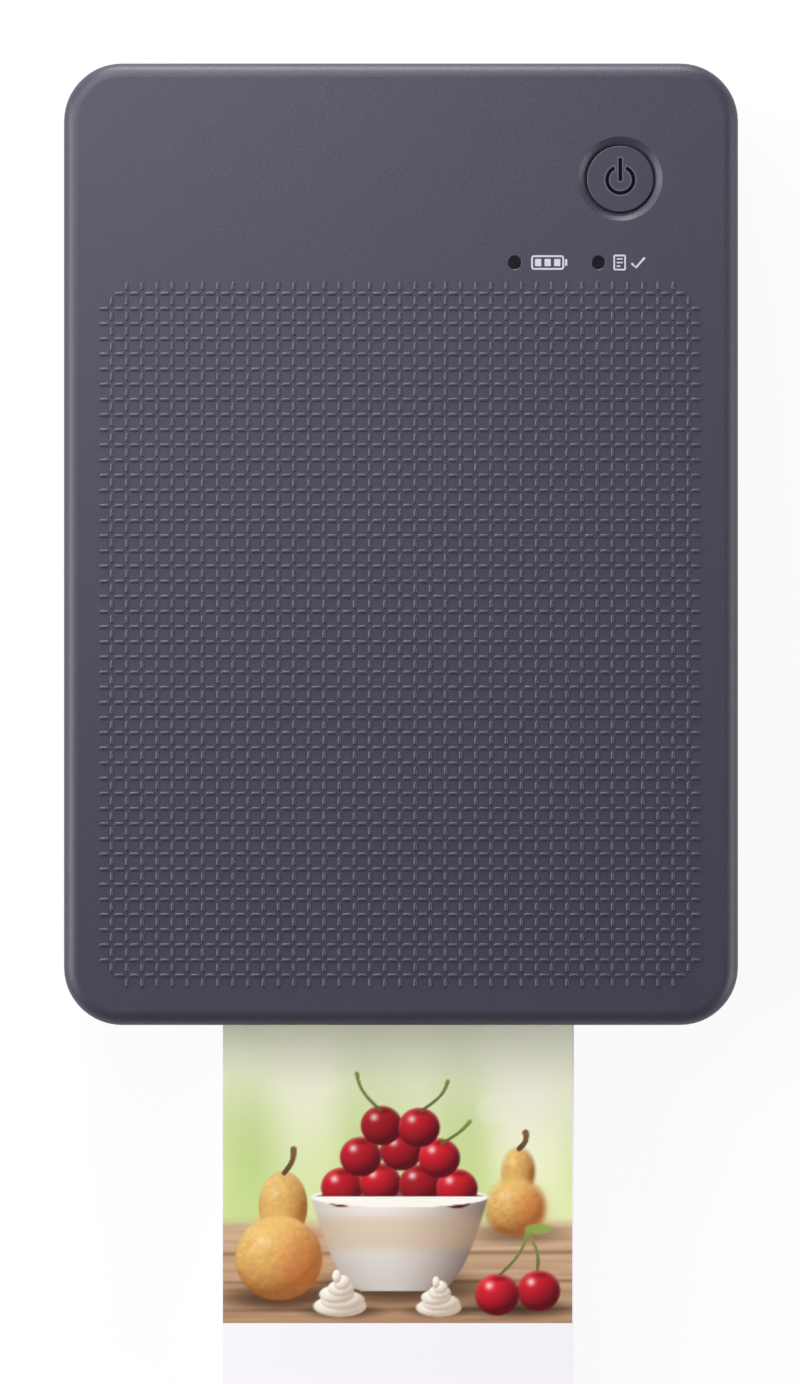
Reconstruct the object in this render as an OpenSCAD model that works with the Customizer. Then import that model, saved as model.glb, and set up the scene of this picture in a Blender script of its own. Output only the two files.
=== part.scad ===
// Compact dye-sublimation photo printer.
// Millimetres, +Z up, standing on its feet at Z = 0. +Y points to the hinge end and -Y to
// the print slot. The modules are drawn about the centre of the casing's footprint, and
// placed() moves them so that the origin is the centre of the footprint with the print out.

/* [Casing] */
// Width across the long sides
case_w = 102.2; // [101.8:0.1:103]
// Length without a print in the slot
case_l = 145.8; // [145.6:0.1:147]
// Height standing on the feet
case_h = 33.1; // [33:0.1:34]
// Corner radius seen from above
corner_r = 8.8; // [8.4:0.1:9.4]
// Rounding along the top edge
top_edge_r = 2.2; // [1.6:0.1:2.6]
// Rounding along the bottom edge
bottom_edge_r = 2; // [1.6:0.1:2.4]
// Wall thickness of both casings
wall = 2; // [2:0.05:2.1]
// Height of the parting line between lid and lower casing
part_z = 24.5; // [24.5:0.05:24.6]
// Height of the rubber feet below the casing
foot_h = 0.8; // [0.7:0.05:0.9]

/* [Controls] */
// Place of the power button from the centre, across
button_x = 33.2; // [32:0.1:34]
// Place of the power button from the centre, along
button_y = 55.3; // [54.5:0.1:56]
// Radius of the power button
button_r = 5.05; // [4.8:0.05:5.1]
// Outer radius of the dish round the button
dish_r = 6.4; // [6.2:0.05:6.8]
// Row of the two lamps, along
lamp_y = 42.6; // [42:0.1:43.5]
// Charge lamp, across
charge_x = 17.2; // [16:0.1:18]
// Status lamp, across
status_x = 29.9; // [29:0.1:31]

/* [Print] */
// Width of a sheet
sheet_w = 54; // [50:0.5:54]
// Length of a sheet
sheet_l = 85.6; // [84:0.1:85.6]
// Thickness of a sheet
sheet_t = 0.25; // [0.2:0.01:0.25]
// Length of the print standing out of the slot
print_out = 62; // [58:0.5:62]
// Number of sheets in the tray
sheets = 10; // [4:1:10]

/* [Drive] */
// Gear module
gear_m = 0.5; // [0.5:0.01:0.5]
// Radius of the capstan and the platen
roller_r = 3; // [2.9:0.05:3]
// Working gap left between a roller and the sheet
nip_gap = 0.03; // [0.02:0.01:0.05]

/* [Hidden] */
$fn = 64;

// Running clearance round the power button
button_gap = 0.16;

// Colours
slate = [0.30, 0.30, 0.36];
slate_dark = [0.20, 0.20, 0.24];
dark = [0.12, 0.12, 0.14];
steel = [0.72, 0.73, 0.75];
alloy = [0.80, 0.81, 0.83];
pom = [0.90, 0.89, 0.85];
rubber = [0.16, 0.16, 0.17];
brass = [0.80, 0.65, 0.35];
board_green = [0.10, 0.36, 0.22];
paper = [0.95, 0.94, 0.97];

// Casing levels
seam = 0.15;
lid_z0 = part_z + seam;
lid_under = case_h - wall;
floor_z = foot_h + 1.8;
in_x = case_w / 2 - wall;
in_y = case_l / 2 - wall;
in_r = corner_r - wall;

// Lid hinge: knuckle radius, axis, pin and running clearance
barrel_r = 1.3;
hinge_y = case_l / 2 - 1.4;
hinge_z = part_z;
hinge_pin_r = 0.6;
barrel_gap = 0.15;
knuckle_inner = 21;
knuckle_outer = 41;
knuckle_w = 5;
// Spans of the knuckles along X: fixed ones and the lid's own between them
fixed_knuckles = [for (k = [knuckle_inner, knuckle_outer - knuckle_w], s = [-1, 1])
  [min(s * k, s * (k + knuckle_w)), max(s * k, s * (k + knuckle_w))]];
lid_knuckles = [for (s = [-1, 1])
  [min(s * (knuckle_inner + knuckle_w), s * (knuckle_outer - knuckle_w)) + barrel_gap,
   max(s * (knuckle_inner + knuckle_w), s * (knuckle_outer - knuckle_w)) - barrel_gap]];
pin_spans = [[-knuckle_outer, -knuckle_inner], [knuckle_inner, knuckle_outer]];

// Sheet path
print_x = -0.4;
path_z = 13;
sheet_top = path_z + sheet_t;

// Roller axes as [y, z]
eject_r = 2;
idler_r = 2;
pinch_r = 2.6;
pickup_r = 4.3;
roller_half = 37.5;
// Places of the short tyres along the pinch and eject shafts
tyre_x = [-24, 0, 24];
z_under = path_z - nip_gap;
z_over = sheet_top + nip_gap;
eject_at = [-66, z_under - eject_r];
eject_idler_at = [-66, z_over + idler_r];

// Teeth
eject_n = 16;
front_idler_n = 22;
platen_n = 24;
rear_idler_n = 20;
capstan_n = 24;
transfer_n = 12;
pickup_n = 16;
compound_small_n = 12;
compound_large_n = 32;
pinion_n = 10;
takeup_n = 12;
function pitch_r(n) = gear_m * n / 2;
function pair_d(a, b) = pitch_r(a) + pitch_r(b);

// Point at distance ra from a and rb from b, on the left (side 1) of the line a to b
function third_point(a, b, ra, rb, side) =
  let (d = norm(b - a), u = (b - a) / d, t = (ra * ra - rb * rb + d * d) / (2 * d),
       h = sqrt(ra * ra - t * t))
  a + u * t + side * h * [-u[1], u[0]];

// Gear axes: the front row, the pickup branch and the motor
eject_platen_d = pair_d(eject_n, front_idler_n) + pair_d(front_idler_n, platen_n);
roller_z = z_under - roller_r;
platen_at = [eject_at[0] + sqrt(pow(eject_platen_d, 2) - pow(eject_at[1] - roller_z, 2)),
  roller_z];
front_idler_at = eject_at
  + (platen_at - eject_at) * pair_d(eject_n, front_idler_n) / eject_platen_d;
rear_idler_at = platen_at + [pair_d(platen_n, rear_idler_n), 0];
capstan_at = rear_idler_at + [pair_d(rear_idler_n, capstan_n), 0];
pinch_at = [capstan_at[0], z_over + pinch_r];
stack_z0 = path_z + 1.7;
pickup_at = [-9.5, stack_z0 - 0.05 - pickup_r];
transfer_at = third_point(capstan_at, pickup_at, pair_d(capstan_n, transfer_n),
  pair_d(transfer_n, pickup_n), 1);
compound_dir = 40;
compound_at = pickup_at
  + pair_d(pickup_n, compound_small_n) * [cos(compound_dir), sin(compound_dir)];
motor_dir = -20;
motor_at = compound_at
  + pair_d(compound_large_n, pinion_n) * [cos(motor_dir), sin(motor_dir)];

// Ribbon cassette: spool axes, tube and roll radii
takeup_at = front_idler_at
  + [0.01, sqrt(pow(pair_d(front_idler_n, takeup_n), 2) - 0.0001)];
head_y = platen_at[0];
spool_z = takeup_at[1];
supply_at = [2 * head_y - takeup_at[0], spool_z];
tube_r = 4.8;
tube_in_r = 4.1;
core_r = 2.3;
supply_roll_r = 3.8;
takeup_roll_r = 2.9;
film_half = 36;
cass_x0 = -41.6;
cass_x1 = 38.8;

// Print head pivot
head_pivot = [head_y + 4.4, 19.5];
pivot_r = 0.9;

// Chassis side plates and gear layers
plate_t = 1.2;
plate_in = 40;
plate_out = plate_in + plate_t;
layer1 = [41.8, 44.2];
layer2 = [46.4, 48.4];
shaft_r = 1.5;
thin_shaft_r = 1.2;
stud_r = 1;
run_gap = 0.05;

// Paper well
well_front = -18.4;
well_rear = 67.8;
well_half = 36.3;
deck_z0 = 24;
deck_z1 = 25;
panel_z0 = 25.3;
panel_z1 = 26.3;
plate_z0 = stack_z0 + sheets * sheet_t + 0.15;
plate_z1 = plate_z0 + 1;

// ---------- helpers ----------

// Moves a node from the casing's centre to the centre of casing and print together
module placed() translate([0, print_out / 2, 0]) children();

// Box given by its spans
module span(x, y, z) translate([x[0], y[0], z[0]])
  cube([x[1] - x[0], y[1] - y[0], z[1] - z[0]]);

// Cylinder along X between x[0] and x[1] at yz
module x_cyl(r, x, yz) translate([x[0], yz[0], yz[1]]) rotate([0, 90, 0])
  cylinder(r = r, h = x[1] - x[0]);

// Cylinder along Y between y[0] and y[1] at xz
module y_cyl(r, y, xz) translate([xz[0], y[1], xz[1]]) rotate([90, 0, 0])
  cylinder(r = r, h = y[1] - y[0]);

// Cylinder along Z between z[0] and z[1] at xy
module z_cyl(r, z, xy) translate([xy[0], xy[1], z[0]]) cylinder(r = r, h = z[1] - z[0]);

// Solid along X between x[0] and x[1] from an outline drawn in Y and Z
module x_extrude(x) translate([x[0], 0, 0]) rotate([90, 0, 90])
  linear_extrude(x[1] - x[0]) children();

// Both sides of the centre plane
module both_sides() {
  children();
  mirror([1, 0, 0]) children();
}

// Rectangle with rounded corners, centred
module rounded_rect(w, l, r) {
  square([w - 2 * r, l], center = true);
  square([w, l - 2 * r], center = true);
  for (x = [-1, 1], y = [-1, 1]) translate([x * (w / 2 - r), y * (l / 2 - r)]) circle(r);
}

// Half profile of a block with one rounded edge at the top
module edge_profile(r_corner, h, r_edge) {
  square([r_corner, h - r_edge]);
  square([r_corner - r_edge, h]);
  translate([r_corner - r_edge, h - r_edge]) circle(r_edge);
}

// Block with round vertical corners and a rounded top edge
module pillow(w, l, h, r_corner, r_edge) {
  x = w / 2 - r_corner;
  y = l / 2 - r_corner;
  translate([-x, -y, 0]) cube([2 * x, 2 * y, h]);
  for (turn = [0, 180]) rotate([0, 0, turn]) {
    translate([x, y, 0]) rotate([90, 0, 0]) linear_extrude(2 * y)
      edge_profile(r_corner, h, r_edge);
    translate([-x, y, 0]) rotate([90, 0, 90]) linear_extrude(2 * x)
      edge_profile(r_corner, h, r_edge);
    translate([x, y, 0]) rotate_extrude(angle = 90) edge_profile(r_corner, h, r_edge);
    translate([-x, y, 0]) rotate([0, 0, 90]) rotate_extrude(angle = 90)
      edge_profile(r_corner, h, r_edge);
  }
}

// Screw with a flat round head below its seat: axis upward from the seat at z
module screw(xy, z, head_r, head_h, shank_r, shank_l) {
  z_cyl(head_r, [z - head_h, z], xy);
  z_cyl(shank_r, [z - 0.1, z + shank_l], xy);
}

// Coil spring: centre line radius, wire radius, length between its ends and turns
module coil(r, wire_r, length, turns) {
  per_turn = 12;
  sides = 6;
  rings = turns * per_turn;
  rise = (length - 2 * wire_r) / rings;
  pts = [for (i = [0 : rings], k = [0 : sides - 1])
    let (a = 360 * i / per_turn, b = 360 * k / sides, q = r + wire_r * cos(b))
    [q * cos(a), q * sin(a), wire_r + i * rise + wire_r * sin(b)]];
  walls = [for (i = [0 : rings - 1], k = [0 : sides - 1])
    let (n = (k + 1) % sides, a = i * sides, b = a + sides)
    [a + k, b + k, b + n, a + n]];
  start_cap = [[for (k = [0 : sides - 1]) k]];
  end_cap = [[for (k = [sides - 1 : -1 : 0]) rings * sides + k]];
  polyhedron(points = pts, faces = concat(walls, start_cap, end_cap), convexity = 6);
}

// ---------- gear teeth ----------

pressure_angle = 20;
addendum = 0.8;
dedendum = 1.1;
tooth_share = 0.435;

// Involute of an angle, in degrees
function involute(a) = tan(a) * 180 / PI - a;

// Half angle of a tooth of an n-tooth gear at radius r
function half_tooth(n, r) =
  let (base = pitch_r(n) * cos(pressure_angle), q = max(r, base))
  tooth_share * 180 / n + involute(pressure_angle) - involute(acos(base / q));

// Outline of one gear, a tooth centred at angle phase
function gear_outline(n, phase) =
  let (root = pitch_r(n) - dedendum * gear_m, tip = pitch_r(n) + addendum * gear_m,
       base = max(root, pitch_r(n) * cos(pressure_angle)),
       radii = [root, base + 0.02, pitch_r(n), tip])
  [for (i = [0 : n - 1]) let (mid = phase + i * 360 / n) each concat(
    [for (r = radii) let (a = mid - half_tooth(n, r)) r * [cos(a), sin(a)]],
    [for (j = [3 : -1 : 0]) let (r = radii[j], a = mid + half_tooth(n, r))
      r * [cos(a), sin(a)]])];

// Phase of the second gear of a meshing pair; dir is the direction from first to second
function mesh_phase(phase, n1, n2, a, b) =
  let (dir = atan2(b[1] - a[1], b[0] - a[0]))
  dir + 180 - (phase - dir) * n1 / n2 + 180 / n2;

capstan_phase = 0;
rear_idler_phase = mesh_phase(capstan_phase, capstan_n, rear_idler_n, capstan_at,
  rear_idler_at);
platen_phase = mesh_phase(rear_idler_phase, rear_idler_n, platen_n, rear_idler_at,
  platen_at);
front_idler_phase = mesh_phase(platen_phase, platen_n, front_idler_n, platen_at,
  front_idler_at);
eject_phase = mesh_phase(front_idler_phase, front_idler_n, eject_n, front_idler_at,
  eject_at);
takeup_phase = mesh_phase(front_idler_phase, front_idler_n, takeup_n, front_idler_at,
  takeup_at);
transfer_phase = mesh_phase(capstan_phase, capstan_n, transfer_n, capstan_at,
  transfer_at);
pickup_phase = mesh_phase(transfer_phase, transfer_n, pickup_n, transfer_at, pickup_at);
compound_phase = mesh_phase(pickup_phase, pickup_n, compound_small_n, pickup_at,
  compound_at);
pinion_phase = mesh_phase(compound_phase, compound_large_n, pinion_n, compound_at,
  motor_at);

// Toothed wheel along X
module toothed(n, phase, x, yz) translate([0, yz[0], yz[1]]) x_extrude(x)
  polygon(gear_outline(n, phase));

// Wheel with a bore, its web thinned between hub and rim on a large gear
module gear(n, phase, x, yz, bore_r, hub_r = 2) {
  rim = pitch_r(n) - dedendum * gear_m - 1;
  difference() {
    toothed(n, phase, x, yz);
    x_cyl(bore_r, [x[0] - 1, x[1] + 1], yz);
    if (rim > hub_r + 1) difference() {
      x_cyl(rim, [x[1] - 0.7, x[1] + 1], yz);
      x_cyl(hub_r, [x[0], x[1] + 2], yz);
    }
  }
}

// ---------- lid ----------

// Places of the screws that hold the lid's inner panel
lid_screw_at = [[-44, 60], [44, 64], [-44, 0], [44, 0], [-36, -64], [36, -64]];

module top_shell() {
  difference() {
    translate([0, 0, lid_z0]) pillow(case_w, case_l, case_h - lid_z0, corner_r, top_edge_r);
    translate([0, 0, lid_z0 - 1]) pillow(2 * in_x, 2 * in_y, lid_under - lid_z0 + 1, in_r, 1);
  }
}

// Bevel behind the hinge axis that lets the lid stand upright; side is 1 on the lid
// and -1 on the casing
module hinge_bevel(side) x_extrude([-60, 60]) translate([hinge_y, hinge_z])
  polygon([[0, 0], [4, 4 * side], [4, -4 * side], [0, -4 * side]]);

// Cylinder round the hinge axis over a span, grown by gap
module hinge_cyl(r, x, gap = 0) x_cyl(r, [x[0] - gap, x[1] + gap], [hinge_y, hinge_z]);

module lid_catch() span([46.9, in_x + 0.5], [-52, -48.4], [25.2, 26.4]);

module lamp_hole(x) {
  z_cyl(0.95, [lid_under - 3, case_h + 1], [x, lamp_y]);
  translate([x, lamp_y, case_h - 0.25]) cylinder(r1 = 0.9, r2 = 1.3, h = 0.4);
}

module top_cover() color(slate) difference() {
  union() {
    difference() {
      top_shell();
      hinge_bevel(1);
    }
    for (x = lid_knuckles) hinge_cyl(barrel_r, x);
    lid_catch();
    difference() {
      z_cyl(7.4, [28.6, lid_under + 0.5], [button_x, button_y]);
      z_cyl(6.25, [28, lid_under], [button_x, button_y]);
    }
    for (x = [charge_x, status_x]) z_cyl(2.6, [29, lid_under + 0.5], [x, lamp_y]);
    for (p = lid_screw_at) z_cyl(2.2, [panel_z1, lid_under + 0.5], p);
    for (x = [-24, 0, 24]) span([x - 0.5, x + 0.5], [-66, 30], [lid_under - 0.8, lid_under + 0.3]);
  }
  for (x = fixed_knuckles) hinge_cyl(barrel_r + barrel_gap, x, barrel_gap);
  for (x = lid_knuckles) hinge_cyl(hinge_pin_r + run_gap, x, 1);
  z_cyl(button_r + button_gap, [lid_under - 1, case_h + 1], [button_x, button_y]);
  translate([button_x, button_y, case_h - 0.8])
    cylinder(r1 = button_r + button_gap + 0.02, r2 = dish_r, h = 0.801);
  for (x = [charge_x, status_x]) {
    lamp_hole(x);
    z_cyl(1.7, [28, lid_under], [x, lamp_y]);
  }
  for (p = lid_screw_at) z_cyl(0.8, [panel_z1 - 1, panel_z1 + 4], p);
}

// Guide posts of the pressure plate, and the posts under the switch board
post_at = [for (x = [-18, 18], y = [2, 32]) [x, y]];
post_r = 1.5;
switch_post_at = [[14, 58], [14, 38.5], [43, 39.5]];
switch_board_z = [26.9, 27.9];

// Shallow fields moulded into the inner panel and the tray deck between their bosses
field_depth = 0.35;
module fields(z) for (f = [[[-38, 38], [-59, -28]], [[-28, 28], [60.5, 68.5]]])
  span(f[0], f[1], z);

// Clearance for the hinge knuckles, and for the catch behind the right wall
module hinge_notch(z) both_sides() span([20, 42], [hinge_y - 2.4, 80], z);
module catch_notch(y0, z) span([44.2, 50], [y0, -35.5], z);

module lid_inner_panel() color(slate_dark) difference() {
  union() {
    translate([0, -0.6, panel_z0]) linear_extrude(panel_z1 - panel_z0)
      rounded_rect(2 * in_x - 0.4, 2 * in_y - 1.6, in_r - 0.4);
    for (p = post_at) z_cyl(3.4, [panel_z1 - 0.2, panel_z1 + 0.6], p);
    for (p = switch_post_at) z_cyl(1.6, [panel_z1 - 0.2, switch_board_z[0]], p);
  }
  for (p = lid_screw_at) {
    z_cyl(1, [panel_z0 - 1, panel_z1 + 1], p);
    z_cyl(1.9, [panel_z0 - 1, panel_z0 + 0.5], p);
  }
  for (p = post_at) z_cyl(post_r + run_gap, [panel_z0 - 1, panel_z1 + 2], p);
  fields([panel_z0 - 1, panel_z0 + field_depth]);
  catch_notch(-53, [panel_z0 - 1, panel_z1 + 1]);
  hinge_notch([panel_z0 - 1, panel_z1 + 1]);
}

module lid_screws() color(steel)
  for (p = lid_screw_at) screw(p, panel_z0 + 0.5, 1.8, 0.45, 0.8, 4);

// Round key: cap with a fine round rim, retaining flange and stem
module power_button() color(slate) {
  top = case_h - 0.3;
  rim = 0.2;
  translate([button_x, button_y, 0]) rotate_extrude() union() {
    translate([0, 31]) square([button_r, top - rim - 31]);
    translate([0, 31]) square([button_r - rim, top - 31]);
    translate([button_r - rim, top - rim]) circle(rim, $fn = 24);
    translate([0, 30.3]) square([6, 0.7]);
    translate([0, 30.1]) square([1.6, 0.9]);
  }
}

module switch_plunger() color(dark) z_cyl(1.45, [29.2, 30.1], [button_x, button_y]);

module tact_switch() color(dark) translate([button_x, button_y, 0]) difference() {
  union() {
    span([-3, 3], [-3, 3], [switch_board_z[1], 29.7]);
    for (y = [-2, 2]) span([-3.9, 3.9], [y - 0.3, y + 0.3],
      [switch_board_z[1], switch_board_z[1] + 0.4]);
  }
  z_cyl(1.5, [28.8, 30], [0, 0]);
}

module switch_board() color(board_green) difference() {
  span([12, 45], [36.5, 61.5], switch_board_z);
  z_cyl(3, [26, 29], [44, 64]);
  for (p = switch_post_at) z_cyl(0.8, [26, 29], p);
}

module indicator_leds() color(pom)
  for (x = [charge_x, status_x]) span([x - 0.8, x + 0.8], [lamp_y - 0.6, lamp_y + 0.6],
    [switch_board_z[1], switch_board_z[1] + 0.8]);

module lamp_lens(x) color(dark) {
  z_cyl(0.9, [29, case_h - 0.12], [x, lamp_y]);
  z_cyl(1.6, [30, lid_under - 0.05], [x, lamp_y]);
}

module charge_lamp_lens() lamp_lens(charge_x);
module status_lamp_lens() lamp_lens(status_x);

// Sheet with a window and two pressed beads, raised above and hollow below
module pressure_plate() color(steel) {
  bead_half = 1;
  difference() {
    union() {
      translate([0, 23, plate_z0]) linear_extrude(1) rounded_rect(50, 74, 4);
      for (x = [-12, 12]) span([x - bead_half, x + bead_half], [-8, 54],
        [plate_z1 - 0.1, plate_z1 + 0.8]);
    }
    translate([0, 23, plate_z0 - 1]) linear_extrude(4) rounded_rect(12, 30, 3);
    for (x = [-12, 12]) span([x - bead_half + 0.4, x + bead_half - 0.4], [-7.4, 53.4],
      [plate_z0 - 1, plate_z0 + 1.2]);
  }
  for (p = post_at) {
    z_cyl(post_r, [plate_z1 - 0.2, panel_z1 + 1.5], p);
    z_cyl(2.3, [panel_z1 + 0.65, panel_z1 + 1.5], p);
  }
}

module pressure_springs() color(steel) for (p = post_at)
  translate([p[0], p[1], plate_z1]) coil(2.1, 0.2, panel_z0 - plate_z1, 6);

// ---------- lower casing ----------

case_screw_at = [[46.2, -63.9], [-46.2, -63.9], [43.4, 62.6], [-43.4, 62.6]];
case_seat_z = 2.5;
board_post_at = [for (x = [-35, 35], y = [8.5, 65.5]) [x, y]];
foot_at = [for (x = [-37.5, 37.5], y = [-58, 57.5]) [x, y]];
chassis_screw_at = [[-37, -55], [-37, -30], [37, -55], [37, -30]];

// Print slot in the front wall
slot_half = 38;
slot_z = [path_z - 1.3, path_z + 1.7];

// Bay opening in the left wall and the axis of its door
bay_y = [supply_at[0] - 29, supply_at[0] + 7];
door_axis = [-case_w / 2 + 1, 13.55];

// Charging socket in the rear wall
socket_x = -22;
socket_z = 11.73;

// Vents in the floor below the print head, and the blank field of the rating label
vent_y = [-44, -26];
vent_x = [for (k = [-4 : 4]) k * 6];
label_field = [[-24, 24], [-4, 24]];

// Catch slider on the right wall
latch_y = [-56.4, -43.4];
latch_z = [17.6, 22.4];

module lower_shell() difference() {
  translate([0, 0, part_z]) rotate([180, 0, 0])
    pillow(case_w, case_l, part_z - foot_h, corner_r, bottom_edge_r);
  translate([0, 0, floor_z]) linear_extrude(30) rounded_rect(2 * in_x, 2 * in_y, in_r);
  hinge_bevel(-1);
  for (x = lid_knuckles) hinge_cyl(barrel_r + barrel_gap, x, barrel_gap);
}

module bottom_case() color(slate_dark) difference() {
  union() {
    lower_shell();
    for (x = fixed_knuckles) hinge_cyl(barrel_r, x);
    for (p = case_screw_at) z_cyl(1.8, [floor_z - 0.5, 10], p);
    for (p = board_post_at) z_cyl(2, [floor_z - 0.5, board_z], p);
    for (p = [[-31.5, 4], [31, 4]]) span([p[0] - 0.6, p[0] + 1.1], [10, 58],
      [floor_z - 0.5, 6]);
    for (y = [3.4, 61.6]) span([-20, 20], [y - 0.6, y + 0.6], [floor_z - 0.5, 6]);
    span([46.9, in_x + 0.5], [-62, -33.5], [15.1, 15.8]);
    span([46.9, in_x + 0.5], [-32.2, -31], [15.1, 23.5]);
    for (y = [bay_y[0] - 2, bay_y[1] - 0.2]) span([-in_x - 0.5, -in_x + 0.6],
      [y, y + 2.2], [door_axis[1] - 2, door_axis[1] + 2]);
  }
  for (x = pin_spans) hinge_cyl(hinge_pin_r, x, 0.01);
  span([-slot_half, slot_half], [-80, -in_y + 1], slot_z);
  translate([0, -case_l / 2, 0]) x_extrude([-slot_half, slot_half])
    polygon([[-0.01, slot_z[0] - 0.7], [0.7, slot_z[0]], [0.7, slot_z[1]],
      [-0.01, slot_z[1] + 0.7], [-1, slot_z[1] + 0.7], [-1, slot_z[0] - 0.7]]);
  span([-60, -in_x + 0.01], bay_y, [door_axis[1] - 1.15, 30]);
  y_cyl(0.6, [bay_y[0] - 1.8, bay_y[0] + 0.1], door_axis);
  y_cyl(0.6, [bay_y[1] - 0.1, bay_y[1] + 1.8], door_axis);
  span([in_x - 0.01, 60], latch_y, latch_z);
  translate([socket_x, 0, socket_z]) rotate([-90, 0, 0]) linear_extrude(90)
    rounded_rect(9.6, 3.9, 1.9);
  translate([socket_x, case_l / 2 - 0.6, socket_z]) rotate([-90, 0, 0]) linear_extrude(9)
    rounded_rect(12, 6.4, 3.15);
  for (x = vent_x) translate([x, (vent_y[0] + vent_y[1]) / 2, 0])
    linear_extrude(floor_z + 0.5) rounded_rect(1.8, vent_y[1] - vent_y[0], 0.8);
  span(label_field[0], label_field[1], [0, foot_h + 0.25]);
  for (p = foot_at) z_cyl(5.6, [0, foot_h + 0.6], p);
  for (p = case_screw_at) {
    z_cyl(1.8, [0, case_seat_z], p);
    z_cyl(1, [0, 12], p);
  }
  for (p = board_post_at) z_cyl(0.8, [3.9, 12], p);
  for (p = chassis_screw_at) z_cyl(0.8, [1.4, 6], p);
}

module rubber_feet() color(rubber) for (p = foot_at) {
  z_cyl(5.5, [0.3, foot_h + 0.6], p);
  z_cyl(5.1, [0, 0.4], p);
}

module case_screws() color(steel)
  for (p = case_screw_at) screw(p, case_seat_z, 1.7, 1.2, 0.9, 11);

module hinge_pins() color(steel) for (x = pin_spans) hinge_cyl(hinge_pin_r, x);

module cassette_door() color(slate_dark) {
  y = [bay_y[0] + 0.2, bay_y[1] - 0.2];
  difference() {
    union() {
      span([-case_w / 2, -in_x], y, [door_axis[1], 24.3]);
      y_cyl(1, y, door_axis);
      for (q = [y[0] + 2, y[1] - 3.2]) span([-in_x - 0.1, -in_x + 0.7], [q, q + 1.2],
        [16, 23.6]);
    }
    y_cyl(0.65, [y[0] - 1, y[0] + 4.6], door_axis);
    y_cyl(0.65, [y[1] - 4.6, y[1] + 1], door_axis);
    translate([-case_w / 2 - 5.4, (y[0] + y[1]) / 2, 24.3]) sphere(r = 6.4);
  }
}

module door_pins() color(steel) {
  y_cyl(0.6, [bay_y[0] - 1.8, bay_y[0] + 4.5], door_axis);
  y_cyl(0.6, [bay_y[1] - 4.5, bay_y[1] + 1.8], door_axis);
}

module latch_slider() color(slate) {
  pad = [latch_y[0] + 0.2, latch_y[0] + 9.2];
  span([47.2, 48.8], [-60, -40], [16, 23.9]);
  span([48.7, 50.4], pad, [latch_z[0] + 0.15, latch_z[1] - 0.15]);
  for (k = [0 : 3]) span([50.3, 50.9], [pad[0] + 1.4 + k * 1.7, pad[0] + 2.3 + k * 1.7],
    [latch_z[0] + 0.7, latch_z[1] - 0.7]);
  span([47.2, 48.8], [-46.2, -44.4], [23.8, 27.8]);
  x_extrude([47.2, 48.8]) polygon([[-48.2, 26.6], [-46.1, 26.6], [-46.1, 27.8],
    [-47.2, 27.8]]);
}

module latch_spring() color(steel) translate([48, -32.2, 20]) rotate([90, 0, 0])
  coil(0.75, 0.18, 7.8, 8);

// ---------- paper handling ----------

// Windows over the two pickup rollers
pickup_x = [-14, 14];
module pickup_windows() for (x = pickup_x) span([x - 6, x + 6],
  [pickup_at[0] - 4.9, pickup_at[0] + 4.9], [0, 20]);

module paper_tray() color(slate_dark) {
  wx = [print_x - well_half, print_x + well_half];
  difference() {
    union() {
      translate([0, -0.5, deck_z0]) linear_extrude(deck_z1 - deck_z0)
        rounded_rect(2 * in_x - 0.4, 2 * in_y - 1.4, in_r - 0.4);
      span([wx[0] - 1.2, wx[1] + 1.2], [well_front - 0.8, well_rear + 1.2],
        [stack_z0 - 1, deck_z1]);
      for (p = case_screw_at) z_cyl(1.8, [10, deck_z0 + 0.5], p);
    }
    span(wx, [well_front, well_rear], [stack_z0, 30]);
    span([wx[0], wx[1]], [well_front - 5, well_front + 1.4], [0, stack_z0 + 0.8]);
    pickup_windows();
    for (p = case_screw_at) z_cyl(0.9, [9, 14], p);
    span([print_x - 38, print_x + 38], [-59, -28], [deck_z1 - field_depth, 30]);
    catch_notch(-62, [deck_z0 - 1, deck_z1 + 1]);
    hinge_notch([deck_z0 - 1, deck_z1 + 1]);
  }
}

// Side guides that fill the well out to the width of a card
module card_guides() color(slate) for (s = [-1, 1]) {
  inner = print_x + s * (sheet_w / 2 + 0.3);
  outer = print_x + s * (well_half - 0.2);
  x = [min(inner, outer), max(inner, outer)];
  difference() {
    span(x, [-3, 60], [stack_z0, 22]);
    span([x[0] + 1.2, x[1] - 1.2], [-1.8, 58.8], [stack_z0 + 1.2, 30]);
  }
}

module paper_stack() color(paper) for (i = [0 : sheets - 1])
  span([print_x - sheet_w / 2, print_x + sheet_w / 2],
    [well_front + 0.2, well_front + 0.2 + sheet_l],
    [stack_z0 + i * sheet_t, stack_z0 + (i + 1) * sheet_t]);

module photo_print() color(paper) span([print_x - sheet_w / 2, print_x + sheet_w / 2],
  [-case_l / 2 - print_out, -case_l / 2 - print_out + sheet_l], [path_z, sheet_top]);

// Lower sheet guide with a window for every roller
module paper_guide() color(dark) difference() {
  span([-39.4, 39.4], [-69, 46], [path_z - 1.1, path_z - 0.3]);
  for (c = [platen_at, capstan_at]) span([-38.2, 38.2], [c[0] - 3.4, c[0] + 3.4], [0, 20]);
  span([-38.2, 38.2], [eject_at[0] - 2.4, eject_at[0] + 2.4], [0, 20]);
  x_cyl(thin_shaft_r + 0.3, [-45, 45], eject_at);
  pickup_windows();
  for (x = tyre_x) span([x - 7, x + 7], [4, 40], [0, 20]);
}

// Roller of radius r on a shaft that runs through both side plates
module roller(r, yz, half, shaft, x) {
  x_cyl(r, [-half, half], yz);
  x_cyl(shaft, x, yz);
}

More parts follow.
